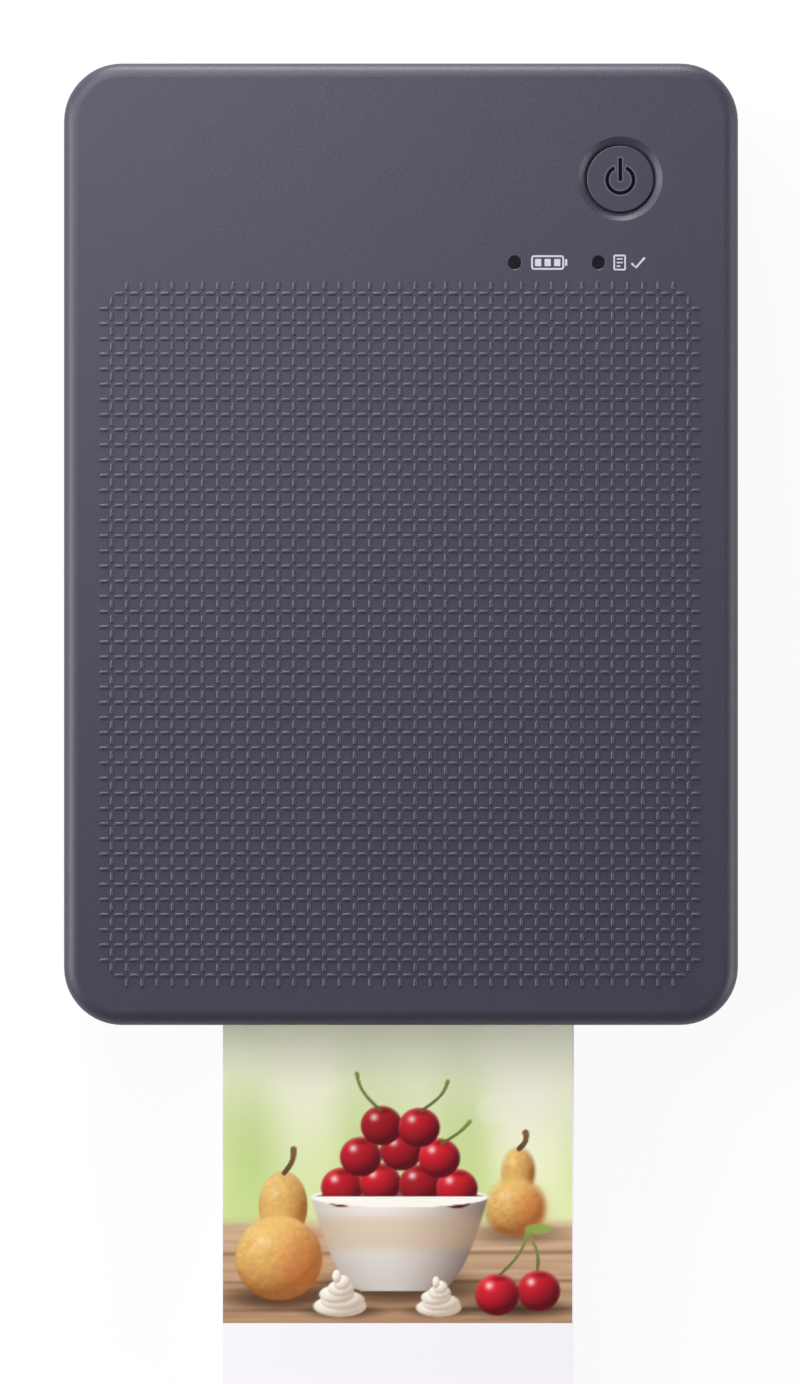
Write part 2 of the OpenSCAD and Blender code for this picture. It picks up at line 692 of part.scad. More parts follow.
module capstan_roller() {
  color(steel) roller(roller_r, capstan_at, roller_half, shaft_r, [-42, 44.8]);
  color(pom) gear(capstan_n, capstan_phase, layer1, capstan_at, shaft_r - 0.2);
}

module pinch_roller() {
  color(steel) x_cyl(thin_shaft_r, [-41.6, 41.5], pinch_at);
  color(rubber) for (x = tyre_x) x_cyl(pinch_r, [x - 8, x + 8], pinch_at);
}

module platen_roller() {
  color(rubber) roller(roller_r, platen_at, roller_half, shaft_r, [-42, 44.8]);
  color(pom) gear(platen_n, platen_phase, layer1, platen_at, shaft_r - 0.2);
}

module eject_rollers() {
  color(steel) x_cyl(thin_shaft_r, [-41.6, 44.3], eject_at);
  color(rubber) for (x = tyre_x) x_cyl(eject_r, [x - 7, x + 7], eject_at);
  color(pom) gear(eject_n, eject_phase, layer1, eject_at, thin_shaft_r - 0.2);
}

module eject_idlers() {
  color(steel) x_cyl(0.9, [-41.6, 41.5], eject_idler_at);
  color(pom) for (x = [-20, 0, 20]) x_cyl(idler_r, [x - 3, x + 3], eject_idler_at);
}

// D-shaped rollers: the flat faces the sheet path at rest and lets a print pass
module pickup_rollers() {
  color(steel) x_cyl(shaft_r, [-42, 44.8], pickup_at);
  color(rubber) for (x = pickup_x) difference() {
    x_cyl(pickup_r, [x - 5, x + 5], pickup_at);
    span([x - 6, x + 6], [pickup_at[0] - 6, pickup_at[0] + 6],
      [pickup_at[1] + 2.1, pickup_at[1] + 8]);
  }
}

// ---------- chassis ----------

// Shafts that turn in bushes, with the bush bore, and bare holes in the plates
bushed = [[capstan_at, shaft_r], [platen_at, shaft_r], [pickup_at, shaft_r],
  [eject_at, thin_shaft_r], [pinch_at, thin_shaft_r]];
bush_wall = 0.9;

module plate_holes(x) {
  for (b = bushed) x_cyl(b[1] + run_gap + bush_wall, x, b[0]);
  x_cyl(0.95, x, eject_idler_at);
  x_cyl(pivot_r, x, head_pivot);
}

// Outline of both plates, up to y
module plate_outline(y1) polygon([[-69.6, floor_z], [y1, floor_z], [y1, 19],
  [y1 - 4.5, 23.6], [-69.6, 23.6]]);

module foot_flange(x) for (p = chassis_screw_at) if (p[0] * x[0] > 0)
  difference() {
    span(x, [p[1] - 4, p[1] + 4], [floor_z, floor_z + 1.2]);
    z_cyl(0.8, [0, 10], p);
  }

module chassis_left() color(alloy) {
  x = [-plate_out, -plate_in];
  difference() {
    x_extrude(x) plate_outline(-3);
    plate_holes([-50, -30]);
    for (c = [supply_at, takeup_at]) {
      x_cyl(tube_r + 0.15, [-50, -30], c);
      span([-50, -30], [c[0] - tube_r - 0.15, c[0] + tube_r + 0.15], [c[1], 30]);
    }
    span([-50, -30], [takeup_at[0], supply_at[0]], [22.6, 30]);
  }
  foot_flange([-plate_in - 0.1, -34]);
}

module chassis_right() color(alloy) {
  x = [plate_in, plate_out];
  difference() {
    x_extrude(x) plate_outline(13);
    plate_holes([30, 50]);
    for (c = [supply_at, takeup_at]) x_cyl(thin_shaft_r + run_gap, [30, 50], c);
    x_cyl(2.6, [30, 50], motor_at);
    for (c = [rear_idler_at, front_idler_at, transfer_at, compound_at])
      x_cyl(stud_r, [30, 50], c);
  }
  foot_flange([34, plate_in + 0.1]);
}

module shaft_bushes() color(brass) for (b = bushed, s = [-1, 1]) {
  x = s > 0 ? [plate_in - 0.5, plate_out + 0.3] : [-plate_out - 0.3, -plate_in + 0.5];
  flange = s > 0 ? [plate_in - 0.5, plate_in] : [-plate_in, -plate_in + 0.5];
  difference() {
    union() {
      x_cyl(b[1] + run_gap + bush_wall, x, b[0]);
      x_cyl(b[1] + run_gap + bush_wall + 0.5, flange, b[0]);
    }
    x_cyl(b[1] + run_gap, [-50, 50], b[0]);
  }
}

// ---------- print head and ribbon ----------

module thermal_head() color([0.85, 0.82, 0.75]) {
  span([-38, 38], [head_y - 2.6, head_y + 3.4], [z_over + 0.25, z_over + 1.15]);
  x_cyl(0.5, [-37, 37], [head_y, z_over + 0.62]);
}

// Extruded heat sink with fins on top and an eye at each end for the pivot
module head_heatsink() color(alloy) difference() {
  union() {
    span([-38.4, 38.4], [head_y - 3.4, head_y + 3.6], [z_over + 1.15, 17.6]);
    for (k = [0 : 3]) span([-38.4, 38.4],
      [head_y - 3.4 + k * 1.7, head_y - 2.5 + k * 1.7], [17.5, 20.8]);
    for (s = [-1, 1]) {
      x = s > 0 ? [36.4, 39.4] : [-39.4, -36.4];
      x_cyl(1.7, x, head_pivot);
      span(x, [head_y - 1, head_pivot[0]], [head_pivot[1] - 1.7, head_pivot[1] + 1.3]);
      span(x, [head_y + 1, head_y + 3.6], [17, head_pivot[1]]);
    }
  }
  x_cyl(pivot_r + run_gap, [-45, 45], head_pivot);
}

module head_pivot_pin() color(steel) for (s = [-1, 1])
  x_cyl(pivot_r, s > 0 ? [36, 43.8] : [-41.4, -36], head_pivot);

module head_torsion_spring() color(steel) {
  translate([41.3, head_pivot[0], head_pivot[1]]) rotate([0, 90, 0]) coil(1.3, 0.22, 2, 4);
}

// Slots for the film: at the foot of the supply tube, at the side of the take-up tube
module ribbon_cassette() color(dark) difference() {
  union() {
    for (c = [supply_at, takeup_at]) x_cyl(tube_r, [cass_x0, cass_x1], c);
    span([cass_x0, cass_x1], [takeup_at[0], supply_at[0]], [22.9, 23.75]);
    translate([0, head_y, spool_z]) x_extrude([cass_x0 - 1.8, cass_x0])
      rounded_rect(supply_at[0] - takeup_at[0] + 2 * tube_r, 2 * tube_r, 2.4);
    span([cass_x0 - 6, cass_x0 - 1.7], [head_y - 5, head_y + 5], [spool_z - 1, spool_z + 1]);
  }
  for (c = [supply_at, takeup_at]) {
    x_cyl(tube_in_r, [cass_x0 + 1, cass_x1 - 0.8], c);
    x_cyl(1.65, [cass_x0 - 0.8, cass_x0 + 2], c);
    x_cyl(2.9, [cass_x1 - 2, cass_x1 + 1], c);
  }
  span([-film_half - 1, film_half + 1], [supply_at[0] - 6, supply_at[0] - 0.3],
    [spool_z - 6, spool_z - 3.2]);
  span([-film_half - 1, film_half + 1], [takeup_at[0] + 3, takeup_at[0] + 6],
    [spool_z - 2.6, spool_z + 1.6]);
}

// Spool core: journal at the left, hexagonal socket at the right
module spool(c) color(pom) difference() {
  union() {
    x_cyl(core_r, [cass_x0 + 1.2, cass_x1 - 1], c);
    x_cyl(1.6, [cass_x0 - 0.6, cass_x0 + 1.3], c);
  }
  translate([33.5, c[0], c[1]]) rotate([0, 90, 0]) cylinder(r = 1.75, h = 10, $fn = 6);
}

// Film wound on a spool
module film_roll(c, r) difference() {
  x_cyl(r, [-film_half, film_half], c);
  x_cyl(core_r, [-film_half - 1, film_half + 1], c);
}

module supply_spool() spool(supply_at);
module takeup_spool() spool(takeup_at);
module supply_film() color([0.75, 0.62, 0.20]) film_roll(supply_at, supply_roll_r);
module takeup_film() color([0.20, 0.32, 0.55]) film_roll(takeup_at, takeup_roll_r);

// Drive hub through the right plate into the spool's socket
module hub(c, x1) color(pom) {
  x_cyl(thin_shaft_r, [37.4, x1], c);
  translate([34, c[0], c[1]]) rotate([0, 90, 0]) cylinder(r = 1.7, h = 3.8, $fn = 6);
}

module supply_hub() hub(supply_at, 42);
module takeup_hub() hub(takeup_at, 44.8);

// Tangent point on a circle at c from the point q outside it
function tangent_from(q, c, r, side) =
  let (d = c - q, l = norm(d), a = atan2(d[1], d[0]) + side * asin(r / l),
       t = sqrt(l * l - r * r))
  q + t * [cos(a), sin(a)];

// Film from the supply roll under the print head to the take-up roll
module dye_film() color([0.75, 0.62, 0.20]) {
  t = 0.06;
  z = z_over + 0.04;
  in_end = [head_y + 3, z];
  out_end = [head_y - 3, z];
  from_supply = tangent_from(in_end, supply_at, supply_roll_r + 0.1, -1);
  to_takeup = tangent_from(out_end, takeup_at, takeup_roll_r + 0.1, -1);
  x_extrude([-film_half, film_half]) polygon([from_supply, in_end, out_end, to_takeup,
    to_takeup + [t, 0], out_end + [0, t], in_end + [0, t], from_supply + [0, t]]);
}

// ---------- drive ----------

motor_r = 6.8;

module stepper_motor() color(steel) difference() {
  union() {
    x_cyl(motor_r, [plate_out, 46], motor_at);
    x_cyl(2.5, [plate_out - 1, plate_out + 1], motor_at);
  }
  x_cyl(0.8, [43, 50], motor_at);
}

module motor_pinion() {
  color(steel) x_cyl(0.75, [43.2, 48.6], motor_at);
  color(brass) toothed(pinion_n, pinion_phase, layer2, motor_at);
}

module compound_gear() color(pom) difference() {
  union() {
    gear(compound_large_n, compound_phase, layer2, compound_at, 0.5, 2.6);
    x_cyl(2.2, [layer1[1], layer2[0] + 0.1], compound_at);
    toothed(compound_small_n, compound_phase, [layer1[0], layer1[1] + 0.1], compound_at);
  }
  x_cyl(stud_r + run_gap, [40, 50], compound_at);
}

module pickup_gear() color(pom)
  gear(pickup_n, pickup_phase, layer1, pickup_at, shaft_r + run_gap);
module transfer_gear() color(pom)
  gear(transfer_n, transfer_phase, layer1, transfer_at, stud_r + run_gap);
module front_idler_gear() color(pom)
  gear(front_idler_n, front_idler_phase, layer1, front_idler_at, stud_r + run_gap);
module rear_idler_gear() color(pom)
  gear(rear_idler_n, rear_idler_phase, layer1, rear_idler_at, stud_r + run_gap);
module takeup_gear() color(pom)
  gear(takeup_n, takeup_phase, layer1, takeup_at, thin_shaft_r + run_gap);

module gear_studs() color(steel) {
  for (c = [rear_idler_at, front_idler_at, transfer_at]) x_cyl(stud_r, [plate_in, 44.8], c);
  x_cyl(stud_r, [plate_in, 48.8], compound_at);
}

// ---------- electrics ----------

board_z = 8.9;

module main_board() color(board_green) difference() {
  span([-37, 37], [6, 68.5], [board_z, board_z + 1.2]);
  for (p = board_post_at) z_cyl(0.9, [0, 20], p);
}

module board_chips() color(dark) {
  z = board_z + 1.2;
  span([-8, 4], [20, 32], [z, z + 1.1]);
  span([12, 20], [24, 30], [z, z + 0.9]);
  span([-26, -18], [26, 31], [z, z + 0.9]);
  span([10, 15], [48, 53], [z, z + 1.2]);
  span([-30, -24], [44, 50], [z, z + 1.2]);
  span([22, 32], [56, 61], [z, z + 1.5]);
}

module usb_socket() color(steel) translate([socket_x, 0, socket_z]) difference() {
  translate([0, 65.2, 0]) rotate([-90, 0, 0]) linear_extrude(7.2)
    rounded_rect(8.94, 3.26, 1.6);
  translate([0, 66.2, 0]) rotate([-90, 0, 0]) difference() {
    linear_extrude(9) rounded_rect(8.34, 2.66, 1.3);
    translate([-3.3, -0.35, 0]) cube([6.6, 0.7, 5]);
  }
}

module battery_pack() color([0.25, 0.27, 0.30])
  translate([0, 32.5, floor_z + 0.1]) linear_extrude(5.2) rounded_rect(60, 54, 2);

module board_screws() color(steel) {
  for (p = board_post_at) {
    z_cyl(1.5, [board_z + 1.2, board_z + 2], p);
    z_cyl(0.8, [4, board_z + 1.3], p);
  }
  for (p = chassis_screw_at) {
    z_cyl(1.6, [floor_z + 1.2, floor_z + 2.2], p);
    z_cyl(0.8, [1.5, floor_z + 1.3], p);
  }
}

placed() top_cover();
placed() lid_inner_panel();
placed() lid_screws();
placed() power_button();
placed() switch_plunger();
placed() tact_switch();
placed() switch_board();
placed() indicator_leds();
placed() charge_lamp_lens();
placed() status_lamp_lens();
placed() pressure_plate();
placed() pressure_springs();
placed() bottom_case();
placed() rubber_feet();
placed() case_screws();
placed() hinge_pins();
placed() cassette_door();
placed() door_pins();
placed() latch_slider();
placed() latch_spring();
placed() paper_tray();
placed() card_guides();
placed() paper_stack();
placed() photo_print();
placed() paper_guide();
placed() chassis_left();
placed() chassis_right();
placed() shaft_bushes();
placed() capstan_roller();
placed() pinch_roller();
placed() platen_roller();
placed() eject_rollers();
placed() eject_idlers();
placed() pickup_rollers();
placed() thermal_head();
placed() head_heatsink();
placed() head_pivot_pin();
placed() head_torsion_spring();
placed() ribbon_cassette();
placed() supply_spool();
placed() takeup_spool();
placed() supply_film();
placed() takeup_film();
placed() supply_hub();
placed() takeup_hub();
placed() dye_film();
placed() stepper_motor();
placed() motor_pinion();
placed() compound_gear();
placed() pickup_gear();
placed() transfer_gear();
placed() front_idler_gear();
placed() rear_idler_gear();
placed() takeup_gear();
placed() gear_studs();
placed() main_board();
placed() board_chips();
placed() usb_socket();
placed() battery_pack();
placed() board_screws();
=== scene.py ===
"""Looks of a compact photo printer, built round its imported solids.

Every length in the dataclasses is in millimetres unless its name says otherwise, and
every mesh is handed to Blender in metres. Pieces are drawn about the middle of the casing
and moved to its place in the frame at the end. Colours are written as sRGB values.
"""

import logging
import math
from dataclasses import dataclass, field
from enum import Enum
from typing import Any, Sequence

import bmesh
import bpy
import numpy as np
from mathutils import Euler, Matrix, Vector


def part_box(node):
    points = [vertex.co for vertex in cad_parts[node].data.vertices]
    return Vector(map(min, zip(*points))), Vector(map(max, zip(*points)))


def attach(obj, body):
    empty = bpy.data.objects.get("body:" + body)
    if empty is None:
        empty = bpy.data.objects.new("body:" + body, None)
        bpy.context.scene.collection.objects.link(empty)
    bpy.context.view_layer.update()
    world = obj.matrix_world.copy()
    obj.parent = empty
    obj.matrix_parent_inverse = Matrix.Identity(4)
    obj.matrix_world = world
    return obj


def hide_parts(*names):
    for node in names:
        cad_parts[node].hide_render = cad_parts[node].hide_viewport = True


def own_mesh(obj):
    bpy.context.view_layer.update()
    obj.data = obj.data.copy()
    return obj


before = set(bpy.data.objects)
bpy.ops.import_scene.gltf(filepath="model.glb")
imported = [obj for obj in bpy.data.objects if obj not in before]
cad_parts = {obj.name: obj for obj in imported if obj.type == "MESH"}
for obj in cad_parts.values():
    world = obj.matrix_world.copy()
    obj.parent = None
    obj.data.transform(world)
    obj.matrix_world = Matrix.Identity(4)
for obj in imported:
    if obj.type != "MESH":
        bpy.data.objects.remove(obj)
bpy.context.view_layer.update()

log = logging.getLogger("photo_printer")

MM = 0.001
FULL = 255.0
WHITE = (1, 1, 1, 1)
CASING_Y = 31.0
SLACK = 1e-6
MITRE_LIMIT = 0.4
COIL_STEPS = 28
WIRE_SIDES = 10
Colour = tuple[float, float, float]
Point = tuple[float, float, float]
Spot = tuple[float, float]


class Direction(Enum):
    """Way in which a metal surface was brushed or drawn."""

    ALONG_X = (0.02, 1.0, 1.0)
    ALONG_Y = (1.0, 0.02, 1.0)
    ALONG_Z = (1.0, 1.0, 0.02)


class HeadFacing(Enum):
    """Side that a screw head looks to, as a turn about the X axis."""

    UP = 0.0
    DOWN = math.pi


def decode(values: np.ndarray | Sequence[float]) -> np.ndarray:
    """Scene linear values of sRGB values, by the sRGB standard's curve.

    Args:
        values: sRGB values of 0 to 255; what is outside is clipped.

    Returns:
        Linear values of 0 to 1.
    """
    c = np.clip(np.asarray(values, float) / FULL, 0, 1)
    return np.where(c <= 0.04045, c / 12.92, ((c + 0.055) / 1.055) ** 2.4)


def linear(colour: Colour) -> tuple[float, float, float, float]:
    """Scene linear RGBA with full alpha of an sRGB colour."""
    return (*decode(colour).tolist(), 1.0)


def shade(colour: Colour, factor: float) -> Colour:
    """Lighter or darker form of a colour, by a factor on its sRGB values."""
    return tuple(min(FULL, c * factor) for c in colour)


class NodeSheet:
    """A node tree with short ways to fill it."""

    def __init__(self, tree: bpy.types.NodeTree) -> None:
        """Takes a tree and empties it."""
        self.tree = tree
        tree.nodes.clear()

    def feed(self, socket: bpy.types.NodeSocket, value: Any) -> None:
        """Gives an input a constant, or links an output to it.

        Args:
            socket: the input.
            value: a constant or a node's output.
        """
        if isinstance(value, bpy.types.NodeSocket):
            self.tree.links.new(value, socket)
        else:
            socket.default_value = value

    def add(self, kind: str, inputs: dict[Any, Any] | None = None,
            **settings: Any) -> bpy.types.Node:
        """Adds a node and feeds its inputs.

        Args:
            kind: the node's type name.
            inputs: constant or output for each input, by name or index.
            **settings: properties set on the node itself.

        Returns:
            The new node.
        """
        node = self.tree.nodes.new(kind)
        for name, value in settings.items():
            setattr(node, name, value)
        for key, value in (inputs or {}).items():
            self.feed(node.inputs[key], value)
        return node

    def math(self, operation: str, a: Any, b: Any = 0.0) -> bpy.types.NodeSocket:
        """Result of one arithmetic step."""
        return self.add("ShaderNodeMath", {0: a, 1: b}, operation=operation).outputs[0]


class MaterialSheet(NodeSheet):
    """One material's nodes, with a Principled shader and the patterns used on it."""

    def __init__(self, name: str) -> None:
        """Starts a material of that name."""
        self.material = bpy.data.materials.new(name)
        self.material.use_nodes = True
        super().__init__(self.material.node_tree)
        self.shader = self.add("ShaderNodeBsdfPrincipled")
        self.add("ShaderNodeOutputMaterial", {"Surface": self.shader.outputs[0]})
        self.place = self.add("ShaderNodeTexCoord").outputs["Object"]

    def put(self, **values: Any) -> None:
        """Sets shader inputs; an underscore in a name stands for a space."""
        for name, value in values.items():
            self.feed(self.shader.inputs[name.replace("_", " ")], value)

    def stretched(self, scale: Point) -> bpy.types.NodeSocket:
        """Object coordinates scaled by axis."""
        return self.add("ShaderNodeMapping", {"Vector": self.place, "Scale": scale}).outputs[0]

    def noise(self, size: float, detail: float = 2.0, rough: float = 0.5,
              vector: bpy.types.NodeSocket | None = None) -> bpy.types.NodeSocket:
        """Smooth noise.

        Args:
            size: width of its features in millimetres.
            detail: number of finer layers.
            rough: strength of each finer layer.
            vector: coordinates, or none for the piece's own.

        Returns:
            The value output.
        """
        return self.add("ShaderNodeTexNoise", {
            "Vector": vector or self.place, "Scale": 1 / (size * MM), "Detail": detail,
            "Roughness": rough}).outputs[0]

    def cells(self, size: float, feature: str = "F1") -> bpy.types.NodeSocket:
        """Distance inside cells about size millimetres wide."""
        return self.add("ShaderNodeTexVoronoi", {"Vector": self.place, "Scale": 1 / (size * MM)},
                        feature=feature).outputs["Distance"]

    def ramp(self, value: bpy.types.NodeSocket, stops: Sequence[tuple[float, Colour]]
             ) -> bpy.types.NodeSocket:
        """Colour ramp over a value.

        Args:
            value: the value, from 0 to 1.
            stops: position and sRGB colour of each stop, in rising order.

        Returns:
            The colour output.
        """
        node = self.add("ShaderNodeValToRGB", {0: value})
        band = node.color_ramp
        while len(band.elements) < len(stops):
            band.elements.new(0.5)
        for element, (position, colour) in zip(band.elements, stops):
            element.position = position
            element.color = linear(colour)
        return node.outputs[0]

    def tones(self, value: bpy.types.NodeSocket, colour: Colour, dark: float, light: float,
              low: float = 0.3, high: float = 0.7) -> bpy.types.NodeSocket:
        """Shades of one colour along a value.

        Args:
            value: the value, from 0 to 1.
            colour: the sRGB colour.
            dark: factor on the colour up to the low position.
            light: factor on the colour from the high position on.
            low: the low position.
            high: the high position.

        Returns:
            The colour output.
        """
        return self.ramp(value, ((low, shade(colour, dark)), (high, shade(colour, light))))

    def span(self, value: bpy.types.NodeSocket, low: float, high: float
             ) -> bpy.types.NodeSocket:
        """Maps a value of 0 to 1 to the range from low to high."""
        return self.add("ShaderNodeMapRange", {"Value": value, "To Min": low,
                                               "To Max": high}).outputs[0]

    def mix(self, factor: Any, a: Any, b: Any, blend: str = "MIX") -> bpy.types.NodeSocket:
        """Mix of two colours by a factor."""
        return self.add("ShaderNodeMix", {0: factor, 6: a, 7: b}, data_type="RGBA",
                        blend_type=blend).outputs[2]

    def bump(self, height: bpy.types.NodeSocket, depth: float,
             over: bpy.types.NodeSocket | None = None) -> bpy.types.NodeSocket:
        """Normal of a height pattern that is depth millimetres deep.

        Args:
            height: the pattern, from 0 to 1.
            depth: millimetres between its lows and highs.
            over: normal of a bump below this one.

        Returns:
            The normal output.
        """
        inputs = {"Height": height, "Distance": depth * MM, "Strength": 1.0}
        if over is not None:
            inputs["Normal"] = over
        return self.add("ShaderNodeBump", inputs).outputs[0]


@dataclass(frozen=True)
class Finish:
    """Plain base of every finish: a colour, a roughness and slight unevenness."""

    name: str
    colour: Colour
    roughness: float = 0.5
    metallic: float = 0.0
    specular: float = 0.5
    mottling: float = 0.03
    mottle_size: float = 9.0

    def material(self) -> bpy.types.Material:
        """Builds the finish's material the first time it is asked for.

        Returns:
            The material, the same one each time.
        """
        found = bpy.data.materials.get(self.name)
        if found is not None:
            return found
        sheet = MaterialSheet(self.name)
        sheet.put(Metallic=self.metallic, Specular_IOR_Level=self.specular)
        self.paint(sheet)
        return sheet.material

    def uneven_colour(self, sheet: MaterialSheet) -> bpy.types.NodeSocket:
        """Base colour with slight broad unevenness."""
        return sheet.tones(sheet.noise(self.mottle_size, 3.0), self.colour, 1 - self.mottling,
                           1 + self.mottling)

    def uneven_gloss(self, sheet: MaterialSheet, value: bpy.types.NodeSocket,
                     low: float = 0.9, high: float = 1.1) -> bpy.types.NodeSocket:
        """Roughness that follows a value between two shares of the finish's own."""
        return sheet.span(value, self.roughness * low, self.roughness * high)

    def paint(self, sheet: MaterialSheet) -> None:
        """Draws the finish on a material; finishes with a pattern of their own extend it.

        Args:
            sheet: the material's nodes.
        """
        sheet.put(Base_Color=self.uneven_colour(sheet),
                  Roughness=self.uneven_gloss(sheet, sheet.noise(self.mottle_size / 3)))


@dataclass(frozen=True)
class MouldedPlastic(Finish):
    """Injection-moulded plastic with the fine grain of a spark-eroded mould."""

    grain: float = 0.28
    grain_depth: float = 0.012
    pit_share: float = 1.7
    speckle: float = 0.05

    def paint(self, sheet: MaterialSheet) -> None:
        """Adds grain to the colour, the gloss and the normal.

        Args:
            sheet: the material's nodes.
        """
        fine = sheet.noise(self.grain, 3.0, 0.6)
        pits = sheet.cells(self.grain * self.pit_share)
        specks = sheet.tones(fine, (FULL, FULL, FULL), 1 - self.speckle, 1.0, 0.35, 0.65)
        colour = sheet.mix(1.0, self.uneven_colour(sheet), specks, "MULTIPLY")
        grain = sheet.math("ADD", fine, sheet.math("MULTIPLY", pits, 0.5))
        sheet.put(Base_Color=colour, Normal=sheet.bump(grain, self.grain_depth),
                  Roughness=self.uneven_gloss(sheet, fine, 0.88, 1.12))


@dataclass(frozen=True)
class BrushedMetal(Finish):
    """Metal with fine lines along one direction."""

    metallic: float = 1.0
    direction: Direction = Direction.ALONG_X
    line: float = 0.09
    line_depth: float = 0.003

    def paint(self, sheet: MaterialSheet) -> None:
        """Adds the lines to the colour, the gloss and the normal.

        Args:
            sheet: the material's nodes.
        """
        lines = sheet.noise(self.line, 2.0, 0.6, sheet.stretched(self.direction.value))
        sheet.put(Base_Color=sheet.tones(lines, self.colour, 0.86, 1.08),
                  Roughness=self.uneven_gloss(sheet, lines, 0.8, 1.3),
                  Normal=sheet.bump(lines, self.line_depth))


@dataclass(frozen=True)
class SoftRubber(Finish):
    """Matt rubber with a pale bloom in its pores."""

    pore: float = 0.5
    pore_depth: float = 0.02
    bloom: float = 1.45

    def paint(self, sheet: MaterialSheet) -> None:
        """Adds pores and bloom.

        Args:
            sheet: the material's nodes.
        """
        pores = sheet.noise(self.pore, 4.0, 0.65)
        sheet.put(Base_Color=sheet.tones(pores, self.colour, 1.0, self.bloom, 0.4, 0.75),
                  Roughness=self.roughness, Normal=sheet.bump(pores, self.pore_depth))


@dataclass(frozen=True)
class PlainPaper(Finish):
    """Card stock with short fibres."""

    fibre: float = 0.35
    fibre_depth: float = 0.002

    def paint(self, sheet: MaterialSheet) -> None:
        """Adds fibres.

        Args:
            sheet: the material's nodes.
        """
        fibres = sheet.noise(self.fibre, 4.0, 0.6, sheet.stretched((1.0, 0.35, 1.0)))
        sheet.put(Base_Color=sheet.tones(fibres, self.colour, 0.985, 1.01),
                  Roughness=self.roughness, Normal=sheet.bump(fibres, self.fibre_depth))


@dataclass(frozen=True)
class PrintSurface(Finish):
    """Glossy photo paper whose dye is stored in the sheet's colour attribute."""

    attribute: str = "dye"
    wave: float = 2.4
    wave_depth: float = 0.001

    def paint(self, sheet: MaterialSheet) -> None:
        """Reads the dye and lays the clear overcoat's faint waves on it.

        Args:
            sheet: the material's nodes.
        """
        dye = sheet.add("ShaderNodeVertexColor", layer_name=self.attribute).outputs["Color"]
        waves = sheet.noise(self.wave, 1.0)
        sheet.put(Base_Color=dye, Roughness=self.uneven_gloss(sheet, waves, 0.9, 1.15),
                  Normal=sheet.bump(waves, self.wave_depth))


@dataclass(frozen=True)
class CircuitBoard(Finish):
    """Solder resist over copper tracks."""

    track: float = 1.1
    track_depth: float = 0.01
    runs: int = 4
    gap: float = 0.035
    stagger: float = 0.37

    def paint(self, sheet: MaterialSheet) -> None:
        """Adds the tracks that show through the resist.

        Args:
            sheet: the material's nodes.
        """
        tracks = sheet.add("ShaderNodeTexBrick", {
            "Vector": sheet.place, "Scale": 1 / (self.track * self.runs * MM),
            "Mortar Size": self.gap, "Color1": linear(self.colour),
            "Color2": linear(shade(self.colour, 1.12)),
            "Mortar": linear(shade(self.colour, 1.5))}, offset=self.stagger)
        sheet.put(Base_Color=tracks.outputs["Color"], Roughness=self.roughness,
                  Normal=sheet.bump(tracks.outputs["Fac"], self.track_depth))


@dataclass(frozen=True)
class WoundFilm(Finish):
    """Glossy dye film whose turns show as fine lines."""

    turn: float = 0.16
    turn_depth: float = 0.004
    coat: float = 0.6
    coat_roughness: float = 0.08

    def paint(self, sheet: MaterialSheet) -> None:
        """Adds the turns and the slight wander of the winding.

        Args:
            sheet: the material's nodes.
        """
        turns = sheet.noise(self.turn, 1.0, 0.5, sheet.stretched((1.0, 0.1, 0.1)))
        sheet.put(Base_Color=sheet.tones(turns, self.colour, 0.8, 1.15, 0.35),
                  Roughness=self.roughness, Coat_Weight=self.coat,
                  Coat_Roughness=self.coat_roughness,
                  Normal=sheet.bump(turns, self.turn_depth))


@dataclass(frozen=True)
class SmokedLens(Finish):
    """Dark clear plastic over a lamp that is off, polished smooth."""

    cloud: float = 1.2
    coat: float = 0.5
    coat_roughness: float = 0.06

    def paint(self, sheet: MaterialSheet) -> None:
        """Adds the uneven depth of the smoked plastic under a clear coat.

        Args:
            sheet: the material's nodes.
        """
        depth = sheet.noise(self.cloud, 1.0)
        sheet.put(Base_Color=sheet.tones(depth, self.colour, 0.8, 1.25, 0.3, 0.8),
                  Roughness=self.roughness, Coat_Weight=self.coat,
                  Coat_Roughness=self.coat_roughness)


@dataclass(frozen=True)
class Banded(Finish):
    """A turned part of several materials side by side along its shaft.

    Each band holds for stations with |x| between its two limits.
    """

    bands: tuple[tuple[float, float, Finish], ...] = ()
    grain: float = 0.3
    grain_depth: float = 0.006

    def paint(self, sheet: MaterialSheet) -> None:
        """Sets colour, gloss and metal by the distance from the middle of the shaft.

        Args:
            sheet: the material's nodes.
        """
        x = sheet.add("ShaderNodeSeparateXYZ", {0: sheet.place}).outputs[0]
        station = sheet.math("ABSOLUTE", x)
        grain = sheet.noise(self.grain, 3.0)
        colour = sheet.tones(grain, self.colour, 0.93, 1.05)
        rough, metal = self.roughness, self.metallic
        for low, high, finish in self.bands:
            inside = sheet.math("MULTIPLY", sheet.math("GREATER_THAN", station, low * MM),
                                sheet.math("LESS_THAN", station, high * MM))
            colour = sheet.mix(inside, colour, sheet.tones(grain, finish.colour, 0.9, 1.1))
            rough = self.blend(sheet, inside, rough, finish.roughness)
            metal = self.blend(sheet, inside, metal, finish.metallic)
        sheet.put(Base_Color=colour, Roughness=rough, Metallic=metal,
                  Normal=sheet.bump(grain, self.grain_depth))

    @staticmethod
    def blend(sheet: MaterialSheet, factor: Any, a: Any, b: Any) -> bpy.types.NodeSocket:
        """Mix of two numbers by a factor."""
        return sheet.add("ShaderNodeMix", {0: factor, 2: a, 3: b}).outputs[0]


